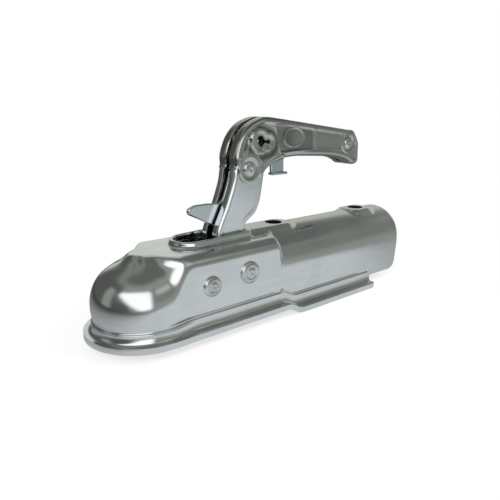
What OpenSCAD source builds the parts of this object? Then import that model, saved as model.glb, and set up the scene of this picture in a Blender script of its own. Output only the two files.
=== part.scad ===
// Trailer coupling head: pressed housing, hand lever with catch, and ball jaw.
// Origin on the ball's axis at the underside of the front flange, +X towards the drawbar, +Z up.

/* [Ball and drawbar] */
// Diameter of the towing ball
ball_d = 50; // [46:0.5:52]
// Diameter of the round drawbar tube
tube_d = 50; // [46:0.5:54]
// Distance between the two bolt holes in the saddle
bolt_pitch = 101; // [90:1:120]
// Diameter of the two bolt holes
bolt_d = 13.5; // [10:0.5:15]

/* [Housing] */
// Thickness of the pressed sheet
sheet_t = 4; // [3:0.1:4.6]
// Height of the ball centre above the flange's underside
ball_h = 21; // [19:0.5:24]
// Height of the drawbar axis above the flange's underside
tube_h = 26.75; // [25:0.25:29]
// Reach of the flange outside the nose wall
flange_reach = 5.9; // [4:0.1:8]
// Step down of the flange behind the box section
joggle_drop = 5.9; // [3:0.1:8]
// Distance from lever pivot to the rear wall of the box section
box_tail = 32; // [28:0.5:38]
// Distance from the rear bolt hole to the end of the saddle
saddle_tail = 29; // [22:0.5:36]
// Radius of the box section's upper edges
shoulder_r = 8.5; // [7:0.1:10]
// Height of the slot's collar above the deck
collar_h = 4.4; // [3:0.1:6]
// Wall of the slot's collar
collar_t = 2.9; // [2:0.1:3.4]

/* [Pivots] */
// Distance between the jaw pivot and the lever pivot
pivot_pitch = 32; // [30:0.5:35]
// Diameter of both pivot rivets
rivet_d = 10; // [8:0.1:10]
// Head diameter of the jaw rivet
jaw_head_d = 14; // [13:0.5:17]
// Head diameter of the lever rivet
lever_head_d = 16; // [13:0.5:18]
// Running clearance of a pin in its hole, on the radius
pin_gap = 0.05; // [0.02:0.01:0.1]

/* [Hand lever] */
// Height of the lever's upper rivet above its pivot
lever_rise = 68.3; // [62:0.1:74]
// Width of the lever across both halves
lever_w = 22; // [20:0.5:23]
// Sheet of the leg halves
leg_t = 2.5; // [2:0.1:3]
// Sheet of the grip shells
grip_t = 1.8; // [1.2:0.1:2.4]
// Length of the grip's straight part
grip_len = 86; // [70:1:100]
// Thickness of the catch plate
catch_t = 3; // [2.4:0.1:3.4]
// Diameter of the lever's upper rivet
top_rivet_d = 8; // [6:0.5:9]
// Diameter of the grip's end rivet
end_rivet_d = 6; // [5:0.5:7]

/* [Ball jaw and links] */
// Thickness of the ball cup's lower rim
cup_t = 3.5; // [3:0.1:5]
// Thickness of the jaw behind the ball
jaw_t = 7.5; // [6:0.1:9]
// Thickness of each pull link
link_t = 3; // [2.4:0.1:3.2]
// Diameter of the two link pins
link_pin_d = 6; // [5:0.1:6.4]

/* [Springs] */
// Wire of the closing springs
spring_wire = 2.2; // [1.6:0.1:2.4]
// Turns of each closing spring
spring_turns = 3.5; // [2.5:1:3.5]
// Wire of the catch spring
catch_wire = 1.4; // [1:0.1:1.6]

/* [Hidden] */
$fn = 64;

// Clearances
ball_gap = 0.3;
seat_gap = 0.15;
side_gap = 0.3;
tube_gap = 0.25;
hole_gap = 0.02;

// Housing sizes across the axis
nose_r = ball_d / 2 + ball_gap + cup_t + sheet_t;
bore_r = tube_d / 2 + tube_gap;
saddle_r = bore_r + sheet_t;
box_step = 1.25;
spring_pitch = spring_wire + 0.25;
spring_y = lever_w / 2 + 5.4;
spring_room = spring_y + spring_turns * spring_pitch + spring_wire / 2 + 0.4;
box_w = max(saddle_r + box_step, spring_room + sheet_t);
flange_w = nose_r + flange_reach;
deck_rise = 2.5;
deck_h = max(tube_h + saddle_r - deck_rise, ball_h + ball_d / 2 + ball_gap + sheet_t + 1);

// Places along the axis
jaw_x = ball_d / 2 + 11;
jaw_h = ball_h + 10;
lever_x = jaw_x + pivot_pitch;
lever_h = deck_h - 19.5;
slot_front = lever_x - 40.5;
slot_rear = lever_x + 14;
slot_w = lever_w / 2 + 0.6;
box_end = lever_x + box_tail;
bolt_x = box_end + 17.4;
bolt_x2 = bolt_x + bolt_pitch;
saddle_end = bolt_x2 + saddle_tail;
flange_end = bolt_x2 - 13.4;

// Dome of the nose, a squared ellipse above the side wall
dome_foot = 19;
dome_h = deck_h - 5.7;
dome_side_rise = 3.2;
dome_power = 2.45;
blend_len = 42;
wall_blend = jaw_x - jaw_head_d / 2 - 2;
plateau_r = 14.5;

// Neck and bead above the flange, as [step outwards, height]
skirt = [
  [2.6, 0], [1.1, 0.5], [0.3, 1.8], [0, 3.4], [-0.7, 5.2],
  [-1.7, 7], [-1.9, 8.6], [-1, 11]
];

function mix(a, b, t) = a + (b - a) * t;
function ease(t) = let(u = min(max(t, 0), 1)) u * u * (3 - 2 * u);
function dome(w, top, a) = [
  w * pow(cos(a), 2 / dome_power),
  dome_foot + (top - dome_foot) * pow(sin(a), 2 / dome_power)
];
function box_corner(w, top, r, a) = [w - r + r * cos(a), top - r + r * sin(a)];

SIDE_STEPS = 8;
CORNER_LAST = 38;

// Half section of the pressed sheet's outside, from the flange edge to the top centre.
// s runs from 0 for the nose to 1 for the box section, front from 0 for its side to 1 for its tip.
function half_outside(w, edge, s, front, inset = 0) =
  let(
    r = max(shoulder_r - inset, 1),
    dome_last = mix(50, 58, front),
    dome_top = dome_h + mix(dome_side_rise, 0, front) - inset,
    top = deck_h - inset,
    crest = mix(plateau_r, plateau_r - 5, front) - inset / 2,
    crease = dome(w, dome_top, dome_last),
    neck = mix(1, 0.45, s)
  )
  concat(
    inset > 0
      ? [[w + 0.6, 0], [w + 0.5, sheet_t / 3], [w + 0.3, sheet_t / 2], [w, sheet_t * 0.8]]
      : [[edge - 0.6, 0], [edge, 0.6], [edge, sheet_t - 0.6], [edge - 0.6, sheet_t]],
    [for (p = skirt) [w + p.x * (p.x < 0 ? neck : inset > 0 ? 0.2 : 1), sheet_t + p.y]],
    [
      for (k = [0:SIDE_STEPS - 1])
        mix(
          dome(w, dome_top, dome_last * k / SIDE_STEPS),
          k == 0 ? [w, dome_foot] : box_corner(w, top, r, CORNER_LAST * (k - 1) / SIDE_STEPS),
          s
        )
    ],
    [
      mix(
        [crest + mix(4.1, 5, front), mix(top - 4.9, mix(crease.y, dome_top, 0.45), front)],
        box_corner(w, top, r, CORNER_LAST), s
      ),
      mix([crest + 1, top - mix(2.2, 2.4, front)], box_corner(w, top, r, 55), s),
      mix([crest - mix(1.7, 0.6, front), top - mix(0.8, 1.5, front)], box_corner(w, top, r, 72), s),
      mix([crest - mix(4.5, 3, front), top - mix(0.2, 0.6, front)], box_corner(w, top, r, 90), s),
      [0, top - mix(0, 0.2, front)]
    ]
  );

PROFILE = len(half_outside(30, 38, 0, 0));

// The pressing's front is one closed sheet: half sections stand along the right side,
// turn round the nose and come back along the left side.
nose_steps = 18;
box_stations = [0, 4, 9, 14, 20, 26, 34, blend_len];

function station_w(x, inset) = mix(nose_r, box_w, ease(x / wall_blend)) - inset;
function station_edge(x) = mix(flange_w, flange_w - 0.2, ease(x / blend_len));
function side_ring(x, side, trim = 0) =
  [
    for (inset = [0, sheet_t])
      let(h = half_outside(station_w(x, inset), station_edge(x), ease(x / blend_len), 0, inset))
      for (k = [0:PROFILE - 1])
        let(t = inset == 0 && k > 11 ? trim : 0)
        [x, side * max(h[k].x - t, 0), h[k].y - (k > 15 ? t : 0)]
  ];
function nose_ring(a) =
  [
    for (inset = [0, sheet_t])
      let(h = half_outside(nose_r - inset, flange_w, 0, pow(max(-cos(a), 0), 2), inset))
      for (p = h)
        [p.x * cos(a), p.x * sin(a), p.y]
  ];
side_xs = concat(box_stations, [box_end - 1.6, box_end]);
front_rings = concat(
  [for (i = [len(side_xs) - 1:-1:0]) side_ring(side_xs[i], -1, i == len(side_xs) - 1 ? 1 : 0)],
  [for (i = [1:nose_steps - 1]) nose_ring(270 - 180 * i / nose_steps)],
  [for (i = [0:len(side_xs) - 1]) side_ring(side_xs[i], 1, i == len(side_xs) - 1 ? 1 : 0)]
);
RINGS = len(front_rings);
SIDES = len(side_xs);

// Points on the centre line are shared between the two sides and by the whole nose
function centre_ring(r) = let(m = min(r, RINGS - 1 - r)) min(m, SIDES - 1);
function at(r, layer, k) = (k == PROFILE - 1 ? centre_ring(r) : r) * 2 * PROFILE + layer * PROFILE + k;
function is_nose(r) = r >= SIDES - 1 && r < RINGS - SIDES;
function quad(a, b, c, d) = [[a, b, c], [a, c, d]];

module front_sheet() {
  faces = [
    for (r = [0:RINGS - 2])
      for (k = [0:PROFILE - 2])
        let(tip = k == PROFILE - 2 && is_nose(r))
        each tip
          ? [
              [at(r, 0, k), at(r, 0, k + 1), at(r + 1, 0, k)],
              [at(r, 1, k + 1), at(r, 1, k), at(r + 1, 1, k)]
            ]
          : concat(
              quad(at(r, 0, k), at(r, 0, k + 1), at(r + 1, 0, k + 1), at(r + 1, 0, k)),
              quad(at(r, 1, k + 1), at(r, 1, k), at(r + 1, 1, k), at(r + 1, 1, k + 1))
            ),
    for (r = [0:RINGS - 2])
      each quad(at(r, 1, 0), at(r, 0, 0), at(r + 1, 0, 0), at(r + 1, 1, 0)),
    for (k = [0:PROFILE - 2])
      each quad(at(0, 0, k), at(0, 1, k), at(0, 1, k + 1), at(0, 0, k + 1)),
    for (k = [0:PROFILE - 2])
      each quad(
        at(RINGS - 1, 1, k), at(RINGS - 1, 0, k), at(RINGS - 1, 0, k + 1), at(RINGS - 1, 1, k + 1)
      )
  ];
  points = [for (ring = front_rings) each ring];
  polyhedron(points=points, faces=[for (f = faces) [f[2], f[1], f[0]]], convexity=8);
}

// Underside of the flange along the side, with its step down
joggle_len = 16;
function flange_z(x) = -joggle_drop * ease((x - box_end) / joggle_len);
joggle_xs = [for (i = [0:8]) box_end + joggle_len * i / 8];

module rear_flange(side) {
  xs = concat(joggle_xs, [flange_end - 3, flange_end - 1, flange_end]);
  edge = flange_w - 0.2;
  root = saddle_r - 2.2;
  n = 8;
  points = [
    for (i = [0:len(xs) - 1])
      let(
        z = flange_z(xs[i]),
        e = edge - (i == len(xs) - 1 ? 3 : i == len(xs) - 2 ? 0.9 : 0),
        w = mix(box_w, saddle_r, ease((xs[i] - box_end) / joggle_len))
      )
      each [
        [xs[i], side * root, z],
        [xs[i], side * (e - 0.6), z],
        [xs[i], side * e, z + 0.6],
        [xs[i], side * e, z + sheet_t - 0.6],
        [xs[i], side * (e - 0.6), z + sheet_t],
        [xs[i], side * (w + 2.6), z + sheet_t],
        [xs[i], side * (w + 0.8), z + sheet_t + 0.7],
        [xs[i], side * root, z + sheet_t + 3]
      ]
  ];
  function flip(f) = side > 0 ? f : [for (i = [len(f) - 1:-1:0]) f[i]];
  faces = concat(
    [
      for (i = [0:len(xs) - 2])
        for (k = [0:n - 1])
          let(a = i * n + k, b = i * n + (k + 1) % n, c = (i + 1) * n + (k + 1) % n, d = (i + 1) * n + k)
          each [flip([a, c, b]), flip([a, d, c])]
    ],
    [for (k = [1:n - 2]) flip([0, k, k + 1])],
    [for (k = [1:n - 2]) let(o = (len(xs) - 1) * n) flip([o, o + k + 1, o + k])]
  );
  polyhedron(points=points, faces=faces, convexity=4);
}

module along_y(w) {
  rotate([90, 0, 0]) translate([0, 0, -w / 2]) linear_extrude(w) children();
}
module along_x(x, len) {
  translate([x, 0, 0]) rotate([90, 0, 90]) linear_extrude(len) children();
}
module pin_y(x, z, r, y0, y1) {
  translate([x, y0, z]) rotate([-90, 0, 0]) cylinder(h=y1 - y0, r=r);
}

module saddle_side_outline() {
  low = 2;
  polygon(concat(
    [[box_end - 3, 0.6]],
    [for (x = joggle_xs) [x, flange_z(x) + 0.6]],
    [
      [flange_end - 0.5, 0.6 - joggle_drop], [flange_end + 1.5, low - 1],
      [saddle_end - 12, low], [saddle_end - 7.4, low + 0.8], [saddle_end - 5.2, low + 3],
      [saddle_end - 4.2, low + 6], [saddle_end - 2, tube_h + 0.5], [box_end - 3, tube_h + 0.5]
    ]
  ));
}

module saddle() {
  intersection() {
    translate([box_end - 14, 0, tube_h])
      rotate([0, 90, 0])
        difference() {
          cylinder(h=14 + saddle_end - box_end, r=saddle_r);
          translate([0, 0, -1]) cylinder(h=20 + saddle_end - box_end, r=bore_r);
        }
    union() {
      along_y(4 * saddle_r)
        polygon([
          [box_end - 1, tube_h], [saddle_end - 2, tube_h], [saddle_end, tube_h + 12],
          [saddle_end, tube_h + 40], [box_end - 1, tube_h + 40]
        ]);
      along_y(4 * saddle_r)
        polygon([
          [box_end - 14, deck_h - 2.5], [box_end, deck_h - 2.5],
          [box_end, deck_h + 9], [box_end - 9, deck_h + 9], [box_end - 14, deck_h - 0.5]
        ]);
    }
  }
  for (side = [-1, 1]) {
    translate([0, side * (bore_r + saddle_r) / 2, 0]) along_y(sheet_t) saddle_side_outline();
  }
}

// Room for the drawbar, open below
wall_t = 4.4;
module drawbar_bore() {
  x = box_end - wall_t;
  len = saddle_end - x + 1;
  translate([x, 0, tube_h]) rotate([0, 90, 0]) cylinder(h=len, r=bore_r);
  translate([x, -bore_r, tube_h - 60]) cube([len, 2 * bore_r, 60]);
}

// Wall that closes the box section down to the tube
module box_rear_wall() {
  e = sheet_t / 2;
  r = shoulder_r - e;
  w = box_w - e;
  top = deck_h - e;
  along_x(box_end - wall_t, wall_t - 0.4)
    polygon([
      [-w, sheet_t], [w, sheet_t],
      for (a = [0:15:90]) box_corner(w, top, r, a),
      for (a = [90:-15:0]) let(p = box_corner(w, top, r, a)) [-p.x, p.y]
    ]);
}

module pad(x0, x1, w, ramp, h) {
  r = 5;
  intersection() {
    translate([0, 0, deck_h - 3])
      linear_extrude(20) {
        translate([x0, -w + r]) square([x1 - x0, 2 * w - 2 * r]);
        translate([x0 + r, -w]) square([x1 - x0 - 2 * r, 2 * w]);
        for (x = [x0 + r, x1 - r]) {
          for (y = [r - w, w - r]) {
            translate([x, y]) circle(r);
          }
        }
      }
    along_y(3 * w)
      polygon([
        [x0, deck_h - 3], [x0, deck_h], [x0 + ramp, deck_h + h - 0.6],
        [x0 + ramp + 2, deck_h + h], [x1 - 4, deck_h + h], [x1 - 2, deck_h + h - 0.6],
        [x1, deck_h + 0.5], [x1, deck_h - 3]
      ]);
  }
}

module obround(x0, x1, w) {
  translate([x0 + w, 0]) circle(w);
  translate([x0 + w, -w]) square([x1 - x0 - w, 2 * w]);
}

module collar() {
  out = slot_w + collar_t;
  intersection() {
    translate([0, 0, deck_h - 2.5]) linear_extrude(12) obround(slot_front - collar_t, slot_rear + 2.5, out);
    along_y(3 * out)
      polygon([
        [slot_front - 5, deck_h - 3], [slot_rear + 6, deck_h - 3],
        [slot_rear + 6, deck_h + collar_h + 0.8], [slot_front - 5, deck_h + collar_h - 0.6]
      ]);
  }
}

module slot() {
  translate([0, 0, deck_h - 12]) linear_extrude(30) obround(slot_front, slot_rear, slot_w);
}

module housing_shell() {
  color("silver")
    difference() {
      union() {
        front_sheet();
        saddle();
        box_rear_wall();
        pad(box_end - 15, bolt_x + 14, 12.5, 6, 4.2);
        pad(bolt_x2 - 16, bolt_x2 + 14.5, 13, 4, 3.9);
        rear_flange(-1);
        rear_flange(1);
        collar();
      }
      slot();
      drawbar_bore();
      for (x = [bolt_x, bolt_x2]) {
        translate([x, 0, tube_h]) cylinder(h=60, r=bolt_d / 2);
      }
      pin_y(jaw_x, jaw_h, rivet_d / 2 + hole_gap, -2 * box_w, 2 * box_w);
      pin_y(lever_x, lever_h, rivet_d / 2 + hole_gap, -2 * box_w, 2 * box_w);
    }
}

// Wear cup that carries the ball's upper front half
module ball_cup() {
  w = (nose_r - sheet_t) * cos(90 / nose_steps) - seat_gap;
  ball_r = ball_d / 2 + ball_gap;
  dome_top = dome_h - sheet_t - seat_gap;
  top = mix(dome_foot, dome_top, 0.7);
  inner_top = asin((top - ball_h) / ball_r);
  outer_top = asin(pow((top - dome_foot) / (dome_top - dome_foot), dome_power / 2));
  color("dimgray")
    rotate([0, 0, 90])
      rotate_extrude(angle=180)
        polygon(concat(
          [[ball_r, ball_h - 6], [w - 1, ball_h - 6], [w - 0.4, ball_h - 4]],
          [for (i = [0:8]) dome(w, dome_top, outer_top * i / 8)],
          [for (i = [8:-1:0]) [ball_r * cos(inner_top * i / 8), ball_h + ball_r * sin(inner_top * i / 8)]]
        ));
}

module rivet(x, z, r, span, head_r, head_h) {
  translate([x, 0, z])
    rotate([90, 0, 0])
      rotate_extrude()
        polygon([
          [0, -span - head_h], [head_r * 0.38, -span - head_h], [head_r * 0.72, -span - head_h * 0.82],
          [head_r * 0.93, -span - head_h * 0.5], [head_r, -span - 0.25], [head_r, -span],
          [r, -span], [r, span],
          [head_r, span], [head_r, span + 0.25], [head_r * 0.93, span + head_h * 0.5],
          [head_r * 0.72, span + head_h * 0.82], [head_r * 0.38, span + head_h], [0, span + head_h]
        ]);
}

module jaw_rivet() {
  color("darkgray") rivet(jaw_x, jaw_h, rivet_d / 2, box_w, jaw_head_d / 2, 2.4);
}

module lever_rivet() {
  color("darkgray") rivet(lever_x, lever_h, rivet_d / 2, box_w, lever_head_d / 2, 2.6);
}

module tube_y(x, z, r_out, r_in, y0, y1) {
  difference() {
    pin_y(x, z, r_out, y0, y1);
    pin_y(x, z, r_in, y0 - 1, y1 + 1);
  }
}

jaw_half = 21;

module jaw_spacer(side) {
  a = jaw_half + side_gap;
  b = box_w - sheet_t - 0.1;
  color("gray") tube_y(jaw_x, jaw_h, rivet_d / 2 + 2.5, rivet_d / 2 + pin_gap, side > 0 ? a : -b, side > 0 ? b : -a);
}
module jaw_spacer_left() {
  jaw_spacer(1);
}
module jaw_spacer_right() {
  jaw_spacer(-1);
}

spacer_r = rivet_d / 2 + 1.5;

module lever_spacer(side) {
  a = lever_w / 2 + side_gap;
  b = box_w - sheet_t - 0.1;
  color("gray") tube_y(lever_x, lever_h, spacer_r, rivet_d / 2 + pin_gap, side > 0 ? a : -b, side > 0 ? b : -a);
}
module lever_spacer_left() {
  lever_spacer(1);
}
module lever_spacer_right() {
  lever_spacer(-1);
}

// Link eyes: the jaw's tail eye and the lever's eye, so that one rigid link joins them at every angle
jaw_eye = [jaw_x + 12.5, jaw_h - 18.5];
lever_eye = [lever_x + 3.03, lever_h - 10.46];
pin_r = link_pin_d / 2;
link_y = 4.6;
link_eye_r = pin_r + 2;

// A wire along a list of points, as a tube with flat sides
module wire(path, r, n = 8) {
  m = len(path);
  function unit(v) = v / norm(v);
  function along(i) = unit(path[min(i + 1, m - 1)] - path[max(i - 1, 0)]);
  function across(t) = unit(cross(t, abs(t.y) > 0.9 ? [1, 0, 0] : [0, 1, 0]));
  points = [
    for (i = [0:m - 1])
      let(t = along(i), u = across(t), v = cross(t, u))
      for (k = [0:n - 1])
        path[i] + r * cos(360 * k / n) * u + r * sin(360 * k / n) * v
  ];
  faces = concat(
    [
      for (i = [0:m - 2])
        for (k = [0:n - 1])
          let(a = i * n + k, b = i * n + (k + 1) % n)
          each [[a, a + n, b + n], [a, b + n, b]]
    ],
    [for (k = [1:n - 2]) [0, k, k + 1]],
    [for (k = [1:n - 2]) let(o = (m - 1) * n) [o, o + k + 1, o + k]]
  );
  polyhedron(points=points, faces=faces, convexity=6);
}

// Leg spring on a spacer: one leg under the deck, one behind the lever's link pin
module closing_spring(side) {
  r = spacer_r + 0.8 + spring_wire / 2;
  y0 = spring_y;
  pitch = spring_pitch;
  steps = 14;
  first = 60;
  total = 360 * spring_turns;
  n = round(steps * spring_turns);
  coil = [
    for (i = [0:n])
      let(a = first + total * i / n)
      [lever_x + r * cos(a), side * (y0 + pitch * spring_turns * (1 - i / n)), lever_h + r * sin(a)]
  ];
  start = coil[0];
  stop = coil[n];
  legs_in = [
    [lever_x + r * 1.9, start.y - side * 3.6, deck_h - sheet_t - spring_wire / 2 - 0.4],
    [lever_x + r * 1.1, start.y - side, lever_h + r * 1.15]
  ];
  legs_out = [
    [lever_x + r * 0.2, side * y0, lever_h - r * 1.02],
    [lever_eye.x + pin_r + spring_wire / 2 + 1.2, side * (y0 - 0.4), lever_eye.y + 1.4],
    [lever_eye.x + pin_r + spring_wire / 2 + 0.6, side * (y0 - 3.2), lever_eye.y - 0.5]
  ];
  color("slategray") wire(concat(legs_in, coil, legs_out), spring_wire / 2, 6);
}
module closing_spring_left() {
  closing_spring(1);
}
module closing_spring_right() {
  closing_spring(-1);
}

module eye_bar(a, b, r, waist, y0, y1) {
  d = b - a;
  translate([0, (y0 + y1) / 2, 0])
    along_y(y1 - y0) {
      translate(a) circle(r);
      translate(b) circle(r);
      translate(a) rotate(atan2(d.y, d.x)) translate([0, -waist]) square([norm(d), 2 * waist]);
    }
}

module ball_jaw() {
  r = ball_d / 2 + 0.5;
  tail = link_y - side_gap;
  sweep = asin((jaw_half - 0.6) / (r + jaw_t));
  low = -38;
  high = 22;
  n = 6;
  color("dimgray")
    difference() {
      union() {
        rotate([0, 0, -sweep])
          rotate_extrude(angle=2 * sweep)
            polygon(concat(
              [for (i = [0:n]) let(a = mix(low, high, i / n)) [r * cos(a), ball_h + r * sin(a)]],
              [for (i = [n:-1:0]) let(a = mix(low, high, i / n)) [(r + jaw_t) * cos(a), ball_h + (r + jaw_t) * sin(a)]]
            ));
        pin_y(jaw_x, jaw_h, rivet_d / 2 + 4, -jaw_half, jaw_half);
        along_y(2 * tail) {
          translate(jaw_eye) circle(link_eye_r);
          polygon([
            [jaw_x - 5, jaw_h - 18.4], jaw_eye + [-1, -4.2], jaw_eye + [4.2, 1.5], [jaw_x + 7, jaw_h - 3],
            [jaw_x - 4, jaw_h - 6]
          ]);
        }
      }
      pin_y(jaw_x, jaw_h, rivet_d / 2 + pin_gap, -jaw_half - 1, jaw_half + 1);
      pin_y(jaw_eye.x, jaw_eye.y, pin_r + hole_gap, -20, 20);
    }
}

module jaw_link_pin() {
  half = link_y + link_t + side_gap;
  color("darkgray") {
    pin_y(jaw_eye.x, jaw_eye.y, pin_r, -half - 1.2, half + 1.2);
    for (y = [-half - 1.2, half]) {
      pin_y(jaw_eye.x, jaw_eye.y, pin_r + 1.3, y, y + 1.2);
    }
  }
}

module pull_link(side) {
  y0 = side > 0 ? link_y : -link_y - link_t;
  color("gray")
    difference() {
      eye_bar(jaw_eye, lever_eye, link_eye_r, pin_r + 0.4, y0, y0 + link_t);
      pin_y(jaw_eye.x, jaw_eye.y, pin_r + 0.35, y0 - 1, y0 + link_t + 1);
      pin_y(lever_eye.x, lever_eye.y, pin_r + pin_gap, y0 - 1, y0 + link_t + 1);
    }
}
module pull_link_left() {
  pull_link(1);
}
module pull_link_right() {
  pull_link(-1);
}

module lever_link_pin() {
  half = lever_w / 2 + 3.4;
  color("darkgray") pin_y(lever_eye.x, lever_eye.y, pin_r, -half, half);
}

module lever_bush() {
  wide = link_y - side_gap;
  half = lever_w / 2 - leg_t - 0.05;
  r = rivet_d / 2;
  color("peru")
    difference() {
      union() {
        pin_y(lever_x, lever_h, r + 1.8, -wide, wide);
        pin_y(lever_x, lever_h, r + 0.4, -half, half);
      }
      pin_y(lever_x, lever_h, r + pin_gap, -half - 1, half + 1);
    }
}

// Outlines of the lever, measured from its pivot: front edge and rear edge of each cross section,
// drawn for an upper rivet 68.3 above the pivot
lever_k = lever_rise / 68.3;
leg_cuts = lever_k * [
  [[-13.2, 9], [12.6, 9]],
  [[-12.8, 19], [12.8, 20]],
  [[-12.4, 25.6], [13.0, 26.3]],
  [[-11.0, 30.0], [13.9, 29.3]],
  [[-10.0, 33.5], [17.2, 31.9]],
  [[-8.7, 37.0], [22.0, 35.2]],
  [[-7.0, 41.3], [25.0, 40.2]],
  [[-5.0, 46.4], [27.1, 47.3]],
  [[-1.2, 55.8], [28.8, 57.0]],
  [[0.6, 62.0], [29.6, 61.8]],
  [[0.9, 69.0], [30.8, 64.2]]
];
grip_bend = lever_k * [
  [[0.9, 69.6], [30.9, 64.6]],
  [[1.4, 76.8], [32.1, 66.0]],
  [[3.0, 82.8], [34.2, 67.6]],
  [[6.1, 88.9], [37.0, 69.2]],
  [[11.4, 94.4], [40.4, 70.9]],
  [[17.8, 99.3], [43.7, 72.1]],
  [[25.4, 102.5], [47.2, 73.2]],
  [[33.0, 103.9], [50.8, 74.1]]
];
grip_start = lever_k * [41.4, 103.3];
grip_fall = 0.124;
// Underside of the grip's straight part, as [share of its length, height above the pivot]
grip_under = [[0.06, 74.8], [0.2, 75], [0.32, 74.7], [0.55, 73.1], [0.72, 70.6], [0.86, 68], [0.94, 66.6]];
// Rounded end of the grip, from its straight part's end
grip_tip = [[[0, 0], [-0.9, -26.8]], [[3.5, -3.5], [4.6, -26.7]], [[6.1, -7.5], [7.1, -25.1]], [[7.6, -10.7], [8, -23.1]]];
grip_top_end = [grip_start.x + grip_len, grip_start.y - grip_fall * grip_len];
grip_cuts = concat(
  grip_bend,
  [
    for (u = grip_under)
      [[grip_start.x + grip_len * u.x, grip_start.y - grip_fall * grip_len * u.x],
       [grip_start.x + 6 + (grip_len - 7) * u.x, lever_k * u.y]]
  ],
  [for (c = grip_tip) [grip_top_end + lever_k * c[0], grip_top_end + lever_k * c[1]]]
);
top_rivet_at = [lever_x + 15.6 * lever_k, lever_h + lever_rise];
end_rivet_at = [lever_x + grip_top_end.x - 4.3 * lever_k, lever_h + grip_top_end.y - 10.6 * lever_k];
seam = catch_t / 2 + side_gap;

// One half of the lever: cross sections with a flat side, rounded outer edges and an open seam
module half_loft(cuts, w, r, y0, side, inset = 0) {
  steps = 3;
  n = 2 * steps + 4;
  function cut_points(c) =
    let(
      d = c[1] - c[0],
      len = norm(d),
      u = d / len,
      rr = max(r - inset, 0.3),
      top = w - inset,
      prof = concat(
        [[inset, y0]],
        [for (i = [0:steps]) let(a = 90 * i / steps) [inset + rr * (1 - cos(a)), top - rr + rr * sin(a)]],
        [for (i = [steps:-1:0]) let(a = 90 * i / steps) [len - inset - rr * (1 - cos(a)), top - rr + rr * sin(a)]],
        [[len - inset, y0]]
      )
    )
    [for (p = prof) [lever_x + c[0].x + u.x * p.x, side * p.y, lever_h + c[0].y + u.y * p.x]];
  m = len(cuts);
  function flip(f) = side < 0 ? f : [f[2], f[1], f[0]];
  faces = concat(
    [
      for (i = [0:m - 2])
        for (k = [0:n - 1])
          let(a = i * n + k, b = i * n + (k + 1) % n)
          each [flip([a, b + n, b]), flip([a, a + n, b + n])]
    ],
    [for (k = [1:n - 2]) flip([0, k, k + 1])],
    [for (k = [1:n - 2]) let(o = (m - 1) * n) flip([o, o + k + 1, o + k])]
  );
  polyhedron(points=[for (c = cuts) each cut_points(c)], faces=faces, convexity=6);
}

// The same cuts, shortened at the last one so that a closed end keeps its wall
function shorten(cuts, t) =
  let(m = len(cuts) - 1, d = cuts[m] - cuts[m - 1])
  [for (i = [0:m]) i < m ? cuts[i] : [cuts[m][0] - [t, 0], cuts[m][1] - [t, 0]]];
function lengthen_start(cuts, t) =
  concat([[cuts[0][0] - [0, t], cuts[0][1] - [0, t]]], cuts);

leg_top = leg_cuts[len(leg_cuts) - 1];

// Shapes drawn in the lever's own plan, from its pivot
module on_lever() {
  translate([lever_x, lever_h]) scale(lever_k) children();
}

module leg_shell(side) {
  w = lever_w / 2;
  y_in = w - leg_t;
  tongue_out = w - grip_t - 0.1;
  tongue_in = tongue_out - leg_t;
  color("lightsteelblue")
    difference() {
      union() {
        difference() {
          half_loft(leg_cuts, w, 3.2, seam, side);
          half_loft(
            concat(lengthen_start(leg_cuts, 2), [[leg_top[0] + [0, 2], leg_top[1] + [0, 2]]]),
            w, 3.2, seam - 1, side, leg_t
          );
        }
        pin_y(lever_x, lever_h, 12.2, side > 0 ? y_in : -w, side > 0 ? w : -y_in);
        pin_y(lever_eye.x, lever_eye.y, pin_r + 3.2, side > 0 ? y_in : -w, side > 0 ? w : -y_in);
        translate([0, side * (tongue_in + tongue_out) / 2, 0])
          along_y(leg_t)
            on_lever()
              polygon([[5, 58], [26, 58], [27.4, 64], [26, 74], [20, 80], [12, 80], [6, 75]]);
      }
      pin_y(lever_x, lever_h, rivet_d / 2 + pin_gap, -20, 20);
      pin_y(lever_eye.x, lever_eye.y, pin_r + hole_gap, -20, 20);
      pin_y(top_rivet_at.x, top_rivet_at.y, top_rivet_d / 2 + hole_gap, -20, 20);
    }
}
module leg_shell_left() {
  leg_shell(1);
}
module leg_shell_right() {
  leg_shell(-1);
}

// Clover shaped window: three lobes round a middle, and the raised boss round it
clover_lobes = [[26.8, 86.7, 3], [24.2, 89.2, 3.1], [30.8, 86.6, 2.6], [25.4, 84.2, 2.4]];
module clover(more) {
  on_lever() {
    for (c = clover_lobes) {
      translate([c[0], c[1]]) circle(c[2] + more);
    }
  }
}

// Embossed fields of the grip's face: two panels, the slim mark on the bend, and a bare oval left standing
grip_panel = [[40.1, 100], [80.5, 95.6], [82.3, 79.9], [46.3, 78.4]];
end_panel = [[83.8, 93.1], [113.1, 90.8], [115.4, 75], [85.6, 78.1]];
bend_mark = [[14.7, 90.9], [17.3, 89], [11.1, 75.4], [8, 75.6]];
oval_at = [59.6, 88.2];
oval_long = 10.5;
oval_high = 7.2;
module grip_fields() {
  on_lever() {
    difference() {
      polygon(grip_panel);
      polygon([for (a = [0:15:345]) oval_at + [oval_long * cos(a), oval_high * sin(a)]]);
    }
    polygon(bend_mark);
  }
  reach = (grip_len - 86) * [1, -grip_fall];
  translate(reach) on_lever() polygon(end_panel);
}

// Round dish for a rivet head, open to the side face
module dish(p, r, w, side, deep) {
  translate([p.x, side * (w + 0.01), p.y])
    rotate([90 * side, 0, 0])
      cylinder(h=deep + 0.01, r1=r, r2=r - 2.2);
}

boss_h = 0.8;
dish_deep = 0.7;
top_lobe_r = 9.2;
end_dish_r = 7.4;

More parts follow.
